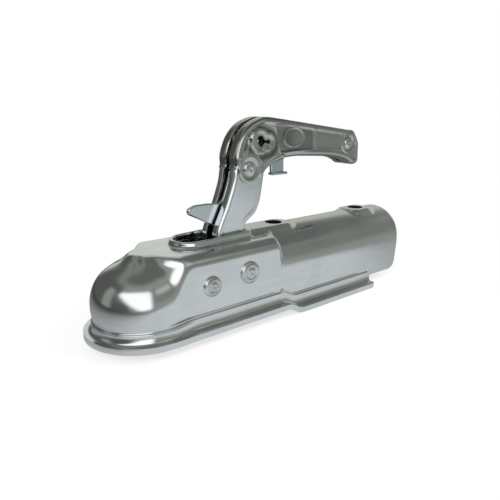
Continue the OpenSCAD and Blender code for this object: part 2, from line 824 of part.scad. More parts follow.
module grip_shell(side) {
  w = lever_w / 2;
  deep = 0.7;
  color("gray")
    difference() {
      union() {
        difference() {
          half_loft(grip_cuts, w, 3.5, seam, side);
          half_loft(lengthen_start(shorten(grip_cuts, grip_t), 2), w, 3.5, seam - 1, side, grip_t);
          translate([0, side * w, 0]) along_y(2 * deep) grip_fields();
        }
        translate([0, side * (w + boss_h / 2 - 0.4), 0]) along_y(boss_h + 0.8) clover(3.8);
        translate([0, side * (w + boss_h / 2 - 0.4), 0])
          along_y(boss_h + 0.8)
            intersection() {
              translate(top_rivet_at) circle(top_lobe_r);
              on_lever() polygon([[0.9, 70.1], [30.9, 65.1], [40, 90], [10, 90]]);
            }
        translate([0, side * (w + 0.05 + (boss_h - 0.05) / 2), 0])
          along_y(boss_h - 0.05)
            translate(top_rivet_at) circle(top_lobe_r);
      }
      translate([0, side * w, 0]) along_y(4 * w) clover(0);
      dish(top_rivet_at, top_lobe_r - 1.4, w + boss_h, side, dish_deep);
      dish(end_rivet_at, end_dish_r, w, side, dish_deep);
      pin_y(top_rivet_at.x, top_rivet_at.y, top_rivet_d / 2 + hole_gap, -20, 20);
      pin_y(end_rivet_at.x, end_rivet_at.y, end_rivet_d / 2 + hole_gap, -20, 20);
    }
}
module grip_shell_left() {
  grip_shell(1);
}
module grip_shell_right() {
  grip_shell(-1);
}

module top_rivet() {
  seat = lever_w / 2 + boss_h - dish_deep;
  color("darkgray") rivet(top_rivet_at.x, top_rivet_at.y, top_rivet_d / 2, seat, top_rivet_d / 2 + 1.4, 1.8);
}

module end_rivet() {
  seat = lever_w / 2 - dish_deep;
  color("darkgray") rivet(end_rivet_at.x, end_rivet_at.y, end_rivet_d / 2, seat, end_rivet_d / 2 + 1.8, 1.6);
}

module grip_spacer() {
  half = lever_w / 2 - grip_t - 0.1;
  color("gray")
    tube_y(end_rivet_at.x, end_rivet_at.y, end_rivet_d / 2 + 2, end_rivet_d / 2 + pin_gap, -half, half);
}

// Catch plate in the lever's seam: hub on the upper rivet, fin in front of the leg, trigger under the grip
fin_outline = [
  [-8.6, 44.8], [-19.5, 45.3], [-25.4, 45.1], [-29.2, 43], [-30.2, 41.4], [-28.9, 39.4], [-22.3, 36],
  [-14.6, 31.6], [-6, 28.2], [0, 30]
];
module catch_lever() {
  color("lightslategray")
    difference() {
      union() {
        pin_y(top_rivet_at.x, top_rivet_at.y, top_rivet_d / 2 + 4, -catch_t / 2, catch_t / 2);
        along_y(catch_t)
          on_lever() {
            polygon(concat(fin_outline, [[8, 40], [19, 60], [23.4, 70], [12, 76], [7.7, 68]]));
            polygon([
              [15, 60.4], [30, 61], [40, 59.2], [59.5, 58.6], [59.5, 61.6], [58, 62.4], [57.6, 80], [44, 80],
              [24, 75], [15, 76]
            ]);
          }
        along_y(2.2 * catch_t) on_lever() translate([45, 58.6]) square([14.5, 3]);
      }
      pin_y(top_rivet_at.x, top_rivet_at.y, top_rivet_d / 2 + pin_gap, -10, 10);
    }
}

module catch_spring() {
  r = top_rivet_d / 2 + 0.6 + catch_wire / 2;
  turns = 2;
  n = 14 * turns;
  y0 = catch_t / 2 + 0.4 + catch_wire / 2;
  coil = [
    for (i = [0:n])
      let(a = 200 + 360 * turns * i / n)
      [top_rivet_at.x + r * cos(a), y0 + (catch_wire + 0.15) * turns * i / n, top_rivet_at.y + r * sin(a)]
  ];
  legs_in = [[top_rivet_at.x - r - 1, y0, top_rivet_at.y - 16], [top_rivet_at.x - r - 0.2, y0, top_rivet_at.y - 6]];
  legs_out = [[coil[n].x - 1.5, coil[n].y, coil[n].z - 5], [coil[n].x - 1.5, coil[n].y, coil[n].z - 14]];
  color("slategray") wire(concat(legs_in, coil, legs_out), catch_wire / 2, 6);
}

housing_shell();
ball_cup();
jaw_rivet();
lever_rivet();
jaw_spacer_left();
jaw_spacer_right();
lever_spacer_left();
lever_spacer_right();
closing_spring_left();
closing_spring_right();
ball_jaw();
jaw_link_pin();
pull_link_left();
pull_link_right();
leg_shell_left();
leg_shell_right();
lever_bush();
lever_link_pin();
grip_shell_left();
grip_shell_right();
grip_spacer();
top_rivet();
end_rivet();
catch_lever();
catch_spring();
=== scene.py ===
"""Trailer coupling head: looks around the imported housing, hand lever, catch and ball jaw."""

import math

import bmesh
import bpy
from mathutils import Matrix, Vector
from mathutils.kdtree import KDTree


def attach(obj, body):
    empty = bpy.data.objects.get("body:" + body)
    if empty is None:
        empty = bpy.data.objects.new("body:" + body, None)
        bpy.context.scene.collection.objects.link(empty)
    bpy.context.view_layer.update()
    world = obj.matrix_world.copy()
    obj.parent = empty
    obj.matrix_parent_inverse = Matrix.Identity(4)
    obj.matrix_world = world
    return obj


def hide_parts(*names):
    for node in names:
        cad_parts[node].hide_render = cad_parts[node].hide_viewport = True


MM = 0.001
# The photograph's view, in millimetres and degrees
CAMERA_AT = (-144.57, -283.24, 144.57)
CAMERA_TARGET = (93.6, 0, 38.7)
CAMERA_ROLL = 0.40


def look_from(position, target, roll):
    """Turn that points a camera or lamp from position to target, with a small roll in degrees."""
    back = (Vector(position) - Vector(target)).normalized()
    turn = back.to_track_quat("Z", "Y").to_matrix()
    return (turn @ Matrix.Rotation(math.radians(roll), 3, "Z")).to_4x4()


def add_camera():
    camera_data = bpy.data.cameras.new("Camera")
    camera_data.lens = 36.0
    camera_data.sensor_width = 36.0
    camera_data.clip_start = 0.01
    camera = bpy.data.objects.new("Camera", camera_data)
    position = Vector(CAMERA_AT) * MM
    target = Vector(CAMERA_TARGET) * MM
    camera.matrix_world = Matrix.Translation(position) @ look_from(position, target, CAMERA_ROLL)
    bpy.context.scene.collection.objects.link(camera)
    bpy.context.scene.camera = camera


# Node helpers

# Sockets of a colour mix node: factor, first and second colour, and its result
MIX_INPUTS = (0, 6, 7)
MIX_RESULT = 2


def node(tree, kind, **values):
    made = tree.nodes.new(kind)
    for name, value in values.items():
        setattr(made, name, value)
    return made


def math_node(tree, operation, *values, clamp=False):
    """Math node on numbers or on other nodes' outputs."""
    made = node(tree, "ShaderNodeMath", operation=operation, use_clamp=clamp)
    for socket, value in zip(made.inputs, values):
        if isinstance(value, (int, float)):
            socket.default_value = value
        else:
            tree.links.new(value, socket)
    return made.outputs[0]


def weighted(tree, first, first_share, second, second_share):
    """Two values added, each times its share."""
    first = math_node(tree, "MULTIPLY", first, first_share)
    second = math_node(tree, "MULTIPLY", second, second_share)
    return math_node(tree, "ADD", first, second)


def noise(tree, coordinates, scale, detail, roughness, distortion=0.0):
    made = node(tree, "ShaderNodeTexNoise")
    made.inputs["Scale"].default_value = scale
    made.inputs["Detail"].default_value = detail
    made.inputs["Roughness"].default_value = roughness
    made.inputs["Distortion"].default_value = distortion
    tree.links.new(coordinates, made.inputs["Vector"])
    return made.outputs["Fac"]


def ramp(tree, factor, stops):
    """Colour ramp with (place, grey or colour) stops."""
    made = node(tree, "ShaderNodeValToRGB")
    elements = made.color_ramp.elements
    while len(elements) < len(stops):
        elements.new(0.5)
    for element, (place, colour) in zip(elements, stops):
        element.position = place
        colour = (colour, colour, colour) if isinstance(colour, (int, float)) else colour
        element.color = (*colour, 1.0)
    tree.links.new(factor, made.inputs["Fac"])
    return made.outputs["Color"]


def mapped(tree, coordinates, scale, location=(0, 0, 0), turn=0.0, kind="POINT"):
    """Coordinates moved, turned about Z by degrees and scaled."""
    made = node(tree, "ShaderNodeMapping", vector_type=kind)
    made.inputs["Location"].default_value = location
    made.inputs["Rotation"].default_value = (0.0, 0.0, math.radians(turn))
    made.inputs["Scale"].default_value = scale
    tree.links.new(coordinates, made.inputs["Vector"])
    return made.outputs["Vector"]


def vector_length(tree, vector):
    made = node(tree, "ShaderNodeVectorMath", operation="LENGTH")
    tree.links.new(vector, made.inputs[0])
    return made.outputs["Value"]


def split(tree, vector):
    made = node(tree, "ShaderNodeSeparateXYZ")
    tree.links.new(vector, made.inputs[0])
    return made.outputs


def mix_colour(tree, factor, first, second, blend="MIX"):
    made = node(tree, "ShaderNodeMix", data_type="RGBA", blend_type=blend)
    for index, value in zip(MIX_INPUTS, (factor, first, second)):
        socket = made.inputs[index]
        if isinstance(value, (int, float)):
            socket.default_value = value
        elif isinstance(value, tuple):
            socket.default_value = (*value, 1.0)
        else:
            tree.links.new(value, socket)
    return made.outputs[MIX_RESULT]


def new_material(name):
    material = bpy.data.materials.new(name)
    material.use_nodes = True
    tree = material.node_tree
    shader = tree.nodes["Principled BSDF"]
    coordinates = node(tree, "ShaderNodeTexCoord").outputs["Object"]
    return material, tree, shader, coordinates


def bare_material(name):
    """Material without any node, for the studio."""
    material = bpy.data.materials.new(name)
    material.use_nodes = True
    material.node_tree.nodes.clear()
    return material, material.node_tree


def surface_output(tree, shader):
    out = node(tree, "ShaderNodeOutputMaterial")
    tree.links.new(shader, out.inputs["Surface"])


def add_bump(tree, shader, height, strength, distance):
    made = node(tree, "ShaderNodeBump")
    made.inputs["Strength"].default_value = strength
    made.inputs["Distance"].default_value = distance
    tree.links.new(height, made.inputs["Height"])
    tree.links.new(made.outputs["Normal"], shader.inputs["Normal"])


# Finishes

# Texture scales: draw marks along the part, small rubs and fine grain
STREAK_SCALE = (45.0, 200.0, 320.0)
RUB_SCALE = (240.0, 240.0, 240.0)
GRAIN_SCALE = 2600.0
RUB_TONE = 0.55
BUMP_DEPTH = 0.0004
# Painted shade in the grip's recesses: distance from the middle plane where it starts, its rate and its stops
RECESS_SHADE_FROM = 0.008
RECESS_SHADE_RATE = 250.0
RECESS_SHADE_STOPS = [(0.0, 1.0), (0.30, 1.0), (0.38, 0.42), (0.45, 0.5), (0.56, 0.95), (1.0, 1.0)]
# Each finish: name, light and dark tone, least and most roughness, scale of the clouds, strength of the bump
FINISHES = {
    "housing": ("zinc_plated_pressing", (0.90, 0.91, 0.93), (0.78, 0.80, 0.82), 0.12, 0.19, 28.0, 0.02),
    # The inside finish is near black: painted shade on the housing's inner face, the bolt holes' walls and
    # the strip round the leg's seam
    "inside": ("shaded_inner_steel", (0.030, 0.030, 0.031), (0.015, 0.015, 0.016), 0.5, 0.7, 28.0, 0.02),
    "leg": ("satin_zinc_leg", (0.88, 0.91, 0.94), (0.76, 0.79, 0.82), 0.16, 0.24, 28.0, 0.02),
    "grip": ("nickel_grey_grip", (0.70, 0.71, 0.69), (0.54, 0.55, 0.53), 0.12, 0.2, 28.0, 0.02),
    "catch": ("satin_zinc_catch", (0.70, 0.77, 0.80), (0.60, 0.66, 0.69), 0.2, 0.3, 28.0, 0.02),
    "rivet": ("peened_rivet", (0.84, 0.85, 0.84), (0.58, 0.59, 0.58), 0.14, 0.3, 160.0, 0.2),
    "spring": ("oiled_spring_wire", (0.30, 0.30, 0.31), (0.17, 0.17, 0.18), 0.28, 0.42, 120.0, 0.02),
    "forged": ("dark_forged_steel", (0.26, 0.26, 0.26), (0.14, 0.14, 0.15), 0.38, 0.55, 90.0, 0.3),
    "bush": ("oiled_bronze", (0.70, 0.48, 0.26), (0.52, 0.34, 0.18), 0.26, 0.4, 120.0, 0.02),
}
NODES_OF = {
    "housing": ["housing_shell"],
    "leg": ["leg_shell_left", "leg_shell_right", "pull_link_left", "pull_link_right"],
    "grip": ["grip_shell_left", "grip_shell_right"],
    "catch": ["catch_lever"],
    "rivet": ["jaw_rivet", "lever_rivet", "jaw_link_pin", "lever_link_pin", "top_rivet", "end_rivet"],
    "spring": ["closing_spring_left", "closing_spring_right", "catch_spring"],
    "forged": [
        "ball_cup", "ball_jaw", "grip_spacer", "jaw_spacer_left", "jaw_spacer_right", "lever_spacer_left",
        "lever_spacer_right",
    ],
    "bush": ["lever_bush"],
}


def painted_recess_shade(tree, at):
    """Painted shade: darker colour in the grip's pressed recesses, by distance from the middle plane."""
    out = math_node(tree, "ABSOLUTE", split(tree, at)["Y"])
    deep = math_node(tree, "SUBTRACT", out, RECESS_SHADE_FROM)
    return ramp(tree, math_node(tree, "MULTIPLY", deep, RECESS_SHADE_RATE, clamp=True), RECESS_SHADE_STOPS)


def plated_steel(name, light, dark, rough_low, rough_high, cloud, bump, shade_recesses):
    """Plated sheet: slow clouds of tone, faint draw marks, fine grain, a few small rubs and, where asked,
    painted shade in the recesses.
    """
    material, tree, shader, at = new_material(name)
    clouds = noise(tree, at, cloud, 3.0, 0.5, 0.3)
    streaks = noise(tree, mapped(tree, at, STREAK_SCALE), 1.0, 5.0, 0.6)
    speckle = noise(tree, at, GRAIN_SCALE, 2.0, 0.5)
    tone = weighted(tree, clouds, 0.65, streaks, 0.35)
    plain = ramp(tree, tone, [(0.34, dark), (0.6, light)])
    rubs = noise(tree, mapped(tree, at, RUB_SCALE), 1.0, 7.0, 0.75, 0.8)
    rub = ramp(tree, rubs, [(0.69, 0.0), (0.76, 1.0)])
    worn_and_shaded = mix_colour(tree, math_node(tree, "MULTIPLY", rub, 0.5), plain, tuple(RUB_TONE * c for c in dark))
    # Painted shade: the recesses are darkened in the base colour
    if shade_recesses:
        worn_and_shaded = mix_colour(tree, 1.0, worn_and_shaded, painted_recess_shade(tree, at), "MULTIPLY")
    tree.links.new(worn_and_shaded, shader.inputs["Base Color"])
    rough = weighted(tree, tone, 0.7, speckle, 0.3)
    polish = ramp(tree, rough, [(0.35, rough_low), (0.65, rough_high)])
    dulled = math_node(tree, "ADD", polish, math_node(tree, "MULTIPLY", rub, 0.12))
    tree.links.new(dulled, shader.inputs["Roughness"])
    shader.inputs["Metallic"].default_value = 1.0
    add_bump(tree, shader, weighted(tree, speckle, 0.3, streaks, 0.7), bump, BUMP_DEPTH)
    return material


def add_finishes():
    # Only the grip gets painted shade in its recesses
    return {key: plated_steel(*values, shade_recesses=key == "grip") for key, values in FINISHES.items()}


def dress_nodes(frame, finishes):
    for finish, names in NODES_OF.items():
        for name in names:
            mesh = frame["nodes"][name].data
            mesh.materials.clear()
            mesh.materials.append(finishes[finish])


# Mesh helpers

MERGE = 0.00001
SMOOTH_ANGLE = 35


def mix(first, second, share):
    return first + (second - first) * share


def ease(value):
    value = min(max(value, 0.0), 1.0)
    return value * value * (3 - 2 * value)


def mesh_object(name, points_mm, faces):
    """New object from points in millimetres, with doubles merged and faces turned outwards."""
    mesh = bpy.data.meshes.new(name)
    mesh.from_pydata([Vector(point) * MM for point in points_mm], [], faces)
    mesh.validate()
    made = bpy.data.objects.new(name, mesh)
    bpy.context.scene.collection.objects.link(made)
    tidy_mesh(made)
    return made


def tidy_mesh(made):
    sheet = bmesh.new()
    sheet.from_mesh(made.data)
    bmesh.ops.remove_doubles(sheet, verts=sheet.verts, dist=MERGE)
    bmesh.ops.recalc_face_normals(sheet, faces=sheet.faces)
    sheet.to_mesh(made.data)
    sheet.free()


def pick(made):
    """Leave this object alone selected, and active."""
    bpy.ops.object.select_all(action="DESELECT")
    bpy.context.view_layer.objects.active = made
    made.select_set(True)


def apply_modifier(made, name, kind, **values):
    pick(made)
    modifier = made.modifiers.new(name, kind)
    for key, value in values.items():
        setattr(modifier, key, value)
    bpy.ops.object.modifier_apply(modifier=name)
    made.select_set(False)


def subdivide(made, levels):
    apply_modifier(
        made, "smooth form", "SUBSURF", levels=levels, render_levels=levels,
        boundary_smooth="PRESERVE_CORNERS",
    )


def thicken(made, thickness_mm, inner=0):
    """Wall grown inwards; inner is the material slot of the inside face."""
    apply_modifier(
        made, "sheet thickness", "SOLIDIFY", thickness=thickness_mm * MM, offset=-1.0, use_even_offset=True,
        use_quality_normals=True, material_offset=inner,
    )


def cut_away(made, cutter):
    apply_modifier(made, "cut", "BOOLEAN", operation="DIFFERENCE", object=cutter, solver="MANIFOLD")
    mesh = cutter.data
    bpy.data.objects.remove(cutter)
    bpy.data.meshes.remove(mesh)


def round_edges(made, width_mm, angle=40, segments=2):
    apply_modifier(
        made, "rounded edges", "BEVEL", width=width_mm * MM, segments=segments, limit_method="ANGLE",
        angle_limit=math.radians(angle), miter_outer="MITER_ARC", use_clamp_overlap=True,
    )


def shade_smooth(made):
    pick(made)
    bpy.ops.object.shade_smooth_by_angle(angle=math.radians(SMOOTH_ANGLE))
    made.select_set(False)


def join_into(made, other):
    pick(made)
    other.select_set(True)
    bpy.ops.object.join()
    made.select_set(False)


def loft(name, rings, closed_rings=False, closed_loft=False):
    """Mesh between rings of the same number of points."""
    count = len(rings[0])
    points = [point for ring in rings for point in ring]
    faces = []
    for index in range(len(rings) if closed_loft else len(rings) - 1):
        after = (index + 1) % len(rings)
        for step in range(count if closed_rings else count - 1):
            beside = (step + 1) % count
            here, there = index * count, after * count
            faces.append([here + step, here + beside, there + beside, there + step])
    return mesh_object(name, points, faces)


def prism(name, outline, axis, low, high):
    """Closed prism of a flat outline. Axis is "Y" or "Z"."""

    def place(point, depth):
        return (point[0], depth, point[1]) if axis == "Y" else (point[0], point[1], depth)

    count = len(outline)
    points = [place(p, low) for p in outline] + [place(p, high) for p in outline]
    faces = [list(range(count)), list(range(2 * count - 1, count - 1, -1))]
    faces += [[i, (i + 1) % count, count + (i + 1) % count, count + i] for i in range(count)]
    return mesh_object(name, points, faces)


def circle(centre, radius, count):
    points = []
    for i in range(count):
        angle = 2 * math.pi * i / count
        points.append((centre[0] + radius * math.cos(angle), centre[1] + radius * math.sin(angle)))
    return points


def arc(centre, radius, start, sweep, steps):
    """Points on an arc, both ends included, with start and sweep in degrees."""
    points = []
    for i in range(steps + 1):
        angle = math.radians(start + sweep * i / steps)
        points.append((centre[0] + radius * math.cos(angle), centre[1] + radius * math.sin(angle)))
    return points


# Pressed housing, in millimetres

NOSE_R = 33.4
BOX_W = 30.5
TUBE_R = 29.25
TUBE_H = 26.75
DECK_H = 53.5
SHEET = 4.0
EDGE_W = 38.7
EDGE_TAPER = 0.2
SHOULDER_R = 8.5
BOX_END = 100.0
FLANGE_END = 205.0
FLANGE_CORNER = 3
FLANGE_TUCK = 2.6
FLANGE_ROWS = 2
SADDLE_END = 247.4
# Step down of the flange behind the box section, and its length
JOGGLE = (5.9, 16)
# Changes along the part, as (start, length): nose width, box form, deck, skirt, and step to the tube
NOSE_RUN = (0, 24)
BOX_RUN = (3, 18)
DECK_RUN = (0, 16)
SKIRT_RUN = (0, 30)
TUBE_RUN = (96.6, 6.8)
# Rows over which the box form gives way to the deck: first row and number of rows
DECK_ROWS = (4, 7)
# Dome: foot, heights, power of its curve, and angle its rows sweep at the side and at the front
DOME_FOOT = 19.0
DOME_SIDE_H = 50.8
DOME_FRONT_H = 48.6
DOME_POWER = 2.4
DOME_SWEEP = (60, 67)
DOME_STEPS = [0, 1 / 3, 2 / 3, 1, 2, 3.5, 5, 6.5, 8]
# Half width of the deck at the side and at the front, and how soon it narrows round the nose
CREST = (12.2, 8.2)
NARROW_OVER = 0.65
# Climb from dome to deck at the side and at the front: (out from the crest, below the deck)
CLIMB = [
    ((3.3, 3.6), (3.2, 4.9)), ((1.0, 2.35), (1.3, 3.2)), ((-1.2, 0.7), (-0.5, 1.2)),
    ((-3.6, 0.1), (-2.8, 0.2)),
]
# Angles of the rows on the box corner and on the tube; top rows as (share of the way in, tube angle)
CORNER_FROM = 38
CORNER_ANGLES = (38, 55, 72, 90)
SIDE_TUBE_ANGLES = [None, 0, 18, 34, 39, 44, 48, 52, 56]
CLIMB_TUBE_ANGLES = (60, 64, 68, 72)
TOP_ROWS = ((0.25, 76.5), (0.5, 81), (0.75, 85.5))
# Foot of the wall above the flange, as (out, up), round the nose and along the side
NOSE_SKIRT = [
    (2.8, 0), (1.3, 0.35), (0.6, 1.5), (0.1, 3.2), (-0.3, 4.9), (0.05, 5.9), (0.0, 6.5), (-0.9, 7.2),
    (-1.0, 8.2), (-0.3, 10.2),
]
SIDE_SKIRT = [
    (3.4, 0), (2.1, 0.35), (1.3, 1.6), (0.8, 3.4), (0.35, 5.6), (0.5, 6.7), (0.35, 7.4), (-0.55, 8.0),
    (-0.45, 8.8), (0.0, 10.2),
]
# Wall without a flange: its lower edge and the height of its last row
PLAIN_WALL_H = (2.0, 17.0)
PLAIN_WALL_ROWS = 9
# The saddle's end leans back: how far it reaches at each height
REAR_FROM = 231.0
REAR_HEIGHTS = [2.0, 2.8, 5.0, 8.0, 27.25, 38.75, 60.0]
REAR_ENDS = [236.5, 240.0, 242.2, 243.4, 245.4, 247.4, 247.4]
# Raised seats round the bolt holes: start, end, half width, top and length of the front slope
PADS = ((74.0, 132.5, 12.4, 57.6, 9.0), (201.0, 233.5, 12.6, 57.4, 8.0))
PAD_CORNER = 10.0
PAD_EDGE = 3.0
PAD_SLOPE = 7.0
PAD_CROWN = 0.0016
PADS_ABOVE = 38
BOLTS_X = (117.4, 218.4)
BOLT_R = 6.75
CUT_H = (40, 70)
STATIONS = [
    0, 3, 6, 9, 12, 15, 18, 21, 24, 28, 34, 42, 54, 68, 80, 87, 93, 97, 99, 101, 103, 105.5, 108, 110.7,
    113.3, 116, 121, 126, 131, 136, 150, 170, 190, 200, 203, 205, 206.5, 211, 216, 221, 226, 231, 236,
    240, 244, 247.4,
]
NOSE_TURNS = 16


def dome_point(w, top, angle):
    angle = math.radians(angle)
    return (
        w * math.cos(angle) ** (2 / DOME_POWER),
        DOME_FOOT + (top - DOME_FOOT) * math.sin(angle) ** (2 / DOME_POWER),
    )


def corner_point(w, angle):
    angle = math.radians(angle)
    return (
        w - SHOULDER_R + SHOULDER_R * math.cos(angle),
        DECK_H - SHOULDER_R + SHOULDER_R * math.sin(angle),
    )


def tube_point(angle):
    angle = math.radians(angle)
    return (TUBE_R * math.cos(angle), TUBE_H + TUBE_R * math.sin(angle))


def upper_rows(w, front):
    """Rows of (nose, box, tube) points from the wall's foot to the top centre."""
    narrow = ease(math.sqrt(front) / NARROW_OVER)
    crest = mix(*CREST, narrow)
    sweep = mix(*DOME_SWEEP, narrow)
    top = mix(DOME_SIDE_H, DOME_FRONT_H, narrow)
    last = DOME_STEPS[-1]
    rows = []
    for step, tube_angle in zip(DOME_STEPS, SIDE_TUBE_ANGLES):
        nose = dome_point(w, top, sweep * step / last) if step else (w, DOME_FOOT)
        if step <= 1:
            box = (w, mix(DOME_FOOT, DECK_H - SHOULDER_R, step))
        else:
            box = corner_point(w, CORNER_FROM * (step - 1) / last)
        tube = (TUBE_R, DOME_FOOT) if tube_angle is None else tube_point(tube_angle)
        rows.append((nose, box, tube))
    for (at_side, at_front), angle, tube_angle in zip(CLIMB, CORNER_ANGLES, CLIMB_TUBE_ANGLES):
        out, below = (mix(at_side[k], at_front[k], narrow) for k in (0, 1))
        rows.append(((crest + out, DECK_H - below), corner_point(w, angle), tube_point(tube_angle)))
    nose, box = rows[-1][:2]
    for share, tube_angle in TOP_ROWS:
        deck = (mix(nose[0], 0, share), mix(nose[1], DECK_H, share))
        rows.append((deck, (mix(box[0], 0, share), DECK_H), tube_point(tube_angle)))
    rows.append(((0, DECK_H), (0, DECK_H), tube_point(90)))
    return rows


def half_section(w, edge, to_box, to_deck, front, to_tube, drop, along, flanged):
    """Outside of the pressing from the flange edge up to the top centre, as (half width, height)."""
    w = mix(w, TUBE_R, to_tube)
    if flanged:
        section = [(edge, drop + SHEET)]
        for (nose_out, nose_up), (side_out, side_up) in zip(NOSE_SKIRT, SIDE_SKIRT):
            section.append((w + mix(nose_out, side_out, along), drop + SHEET + mix(nose_up, side_up, along)))
    else:
        low, high = PLAIN_WALL_H
        section = [(w, low), (w, low)]
        section += [(w, mix(low, high, i / PLAIN_WALL_ROWS)) for i in range(PLAIN_WALL_ROWS)]
    for row, (nose, box, tube) in enumerate(upper_rows(w, front)):
        share = mix(to_box, to_deck, min(max((row - DECK_ROWS[0]) / DECK_ROWS[1], 0), 1))
        side = mix(nose[0], box[0], share), mix(nose[1], box[1], share)
        section.append((mix(side[0], tube[0], to_tube), mix(side[1], tube[1], to_tube)))
    return section


def rear_reach(x, z):
    """The saddle's end leans back, with a rounded lower corner."""
    if x <= REAR_FROM:
        return x
    place = sum(1 for h in REAR_HEIGHTS[1:-1] if z > h)
    low, high = REAR_HEIGHTS[place:place + 2]
    share = min(max((z - low) / (high - low), 0), 1)
    end = mix(REAR_ENDS[place], REAR_ENDS[place + 1], share)
    return REAR_FROM + (x - REAR_FROM) * (end - REAR_FROM) / (SADDLE_END - REAR_FROM)


def side_section(x, side):
    def along(run):
        return ease((x - run[0]) / run[1])

    to_box = along(BOX_RUN)
    edge = mix(EDGE_W, EDGE_W - EDGE_TAPER, to_box)
    if x > FLANGE_END - FLANGE_CORNER:
        edge -= FLANGE_TUCK * ((x - FLANGE_END + FLANGE_CORNER) / FLANGE_CORNER) ** 3
    drop = -JOGGLE[0] * along((BOX_END, JOGGLE[1]))
    section = half_section(
        mix(NOSE_R, BOX_W, along(NOSE_RUN)), edge, to_box, along(DECK_RUN), 0, along(TUBE_RUN), drop,
        along(SKIRT_RUN), x <= FLANGE_END,
    )
    return [(rear_reach(x, z), side * y, z) for y, z in section]


def nose_section(angle):
    turn = math.radians(angle)
    front = max(-math.cos(turn), 0) ** 2
    section = half_section(NOSE_R, EDGE_W, 0, 0, front, 0, 0, 0, True)
    return [(y * math.cos(turn), y * math.sin(turn), z) for y, z in section]


def round_box_distance(x, y, half_x, half_y, radius):
    dx, dy = abs(x) - half_x + radius, abs(y) - half_y + radius
    return math.hypot(max(dx, 0), max(dy, 0)) + min(max(dx, dy), 0) - radius


def raise_pads(made):
    """Raised seats round the two bolt holes, with soft sides."""
    for vertex in made.data.vertices:
        x, y, z = (value / MM for value in vertex.co)
        if z < PADS_ABOVE:
            continue
        for start, end, half, top, run in PADS:
            away = round_box_distance(x - (start + end) / 2, y, (end - start) / 2, half, PAD_CORNER)
            share = ease((PAD_EDGE - away) / PAD_SLOPE)
            crown = top - PAD_CROWN * y * y
            crown = mix(z, crown, ease((x - start) / run))
            z = max(z, mix(z, crown, share))
        vertex.co.z = z * MM


SLOT_FRONT = 27.5
SLOT_REAR = 82.0
SLOT_W = 11.6
SLOT_CORNER = 1.5
SLOT_GAP = 0.3
# Top of the slot's rim at its front and at its rear
RIM_TOP = (57.3, 58.7)
# Section of the rim: (outwards, below its top or None, height where it doesn't follow the top)
RIM = [
    (0.0, None, 49.4), (0.0, -1.4, None), (0.12, -0.7, None), (0.5, -0.15, None), (1.1, 0.0, None),
    (1.9, -0.1, None), (2.5, -0.5, None), (2.85, -1.2, None), (2.95, -2.2, None), (3.15, None, DECK_H + 1.4),
    (3.6, None, DECK_H + 0.7), (4.4, None, DECK_H + 0.22), (5.8, None, DECK_H - 0.04),
    (5.6, None, DECK_H - 1.2),
]


def slot_path(out):
    """Points round the lever slot, moved outwards by out."""
    half = SLOT_W + out
    centre = SLOT_FRONT + SLOT_W
    rear = SLOT_REAR + out
    corner = SLOT_CORNER + max(out, 0)
    path = [(mix(rear - corner, centre, i / 14), -half) for i in range(14)]
    path += arc((centre, 0), half, 270, -180, 28)
    path += [(mix(centre, rear - corner, i / 14), half) for i in range(1, 15)]
    path += arc((rear - corner, half - corner), corner, 90, -90, 4)[1:]
    path += [(rear, mix(half - corner, corner - half, i / 6)) for i in range(1, 6)]
    return path + arc((rear - corner, corner - half), corner, 0, -90, 4)[:-1]


def slot_collar():
    """Drawn rim round the slot: inner wall, rounded lip and a soft foot on the deck."""
    rings = []
    for out, below_top, height in RIM:
        ring = []
        for x, y in slot_path(out):
            top = mix(*RIM_TOP, min(max((x - SLOT_FRONT) / (SLOT_REAR - SLOT_FRONT), 0), 1))
            ring.append((x, y, height if height is not None else top + below_top))
        rings.append(ring)
    collar = loft("collar", rings, closed_rings=True, closed_loft=True)
    subdivide(collar, 1)
    return collar


def pressed_housing(finishes):
    rings = [side_section(x, -1) for x in reversed(STATIONS)]
    rings += [nose_section(270 - 180 * i / NOSE_TURNS) for i in range(1, NOSE_TURNS)]
    rings += [side_section(x, 1) for x in STATIONS]
    count = len(rings[0])
    points = [point for ring in rings for point in ring]
    open_from = STATIONS.index(FLANGE_END)
    last = len(rings) - 1
    faces = []
    for index in range(last):
        from_end = min(index, last - 1 - index)
        no_flange = len(STATIONS) - 1 - from_end > open_from
        for step in range(FLANGE_ROWS if no_flange else 0, count - 1):
            here, there = index * count + step, (index + 1) * count + step
            faces.append([here, here + 1, there + 1, there])
    housing = mesh_object("housing_pressing", points, faces)
    subdivide(housing, 2)
    raise_pads(housing)
    tidy_mesh(housing)
    housing.data.materials.append(finishes["housing"])
    # The inner face and the bolt holes' walls take the inside finish: painted shade
    housing.data.materials.append(finishes["inside"])
    thicken(housing, SHEET, 1)
    cut_away(housing, prism("slot_cut", slot_path(SLOT_GAP), "Z", *CUT_H))
    for x in BOLTS_X:
        hole = prism("bolt_cut", circle((x, 0), BOLT_R, 48), "Z", *CUT_H)
        hole.data.materials.append(finishes["housing"])
        hole.data.materials.append(finishes["inside"])
        for face in hole.data.polygons:
            face.material_index = 1
        cut_away(housing, hole)
    round_edges(housing, 0.55)
    collar = slot_collar()
    collar.data.materials.append(finishes["housing"])
    join_into(housing, collar)
    shade_smooth(housing)
    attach(housing, "housing")
    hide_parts("housing_shell")


# Hand lever, in millimetres from its pivot

PIVOT = (68.0, 34.0)
JAW_PIVOT = (36.0, 31.0)
LEVER_W = 11.0
LEG_W = 10.2
SEAM = 1.8
GRIP_SHEET = 1.8
LEG_SHEET = 2.5
GRIP_EDGE_R = 3.5
LEG_EDGE_R = 2.5
# Half width of the strip round the leg's seam that lies in shade
SEAM_SHADE = 3.3
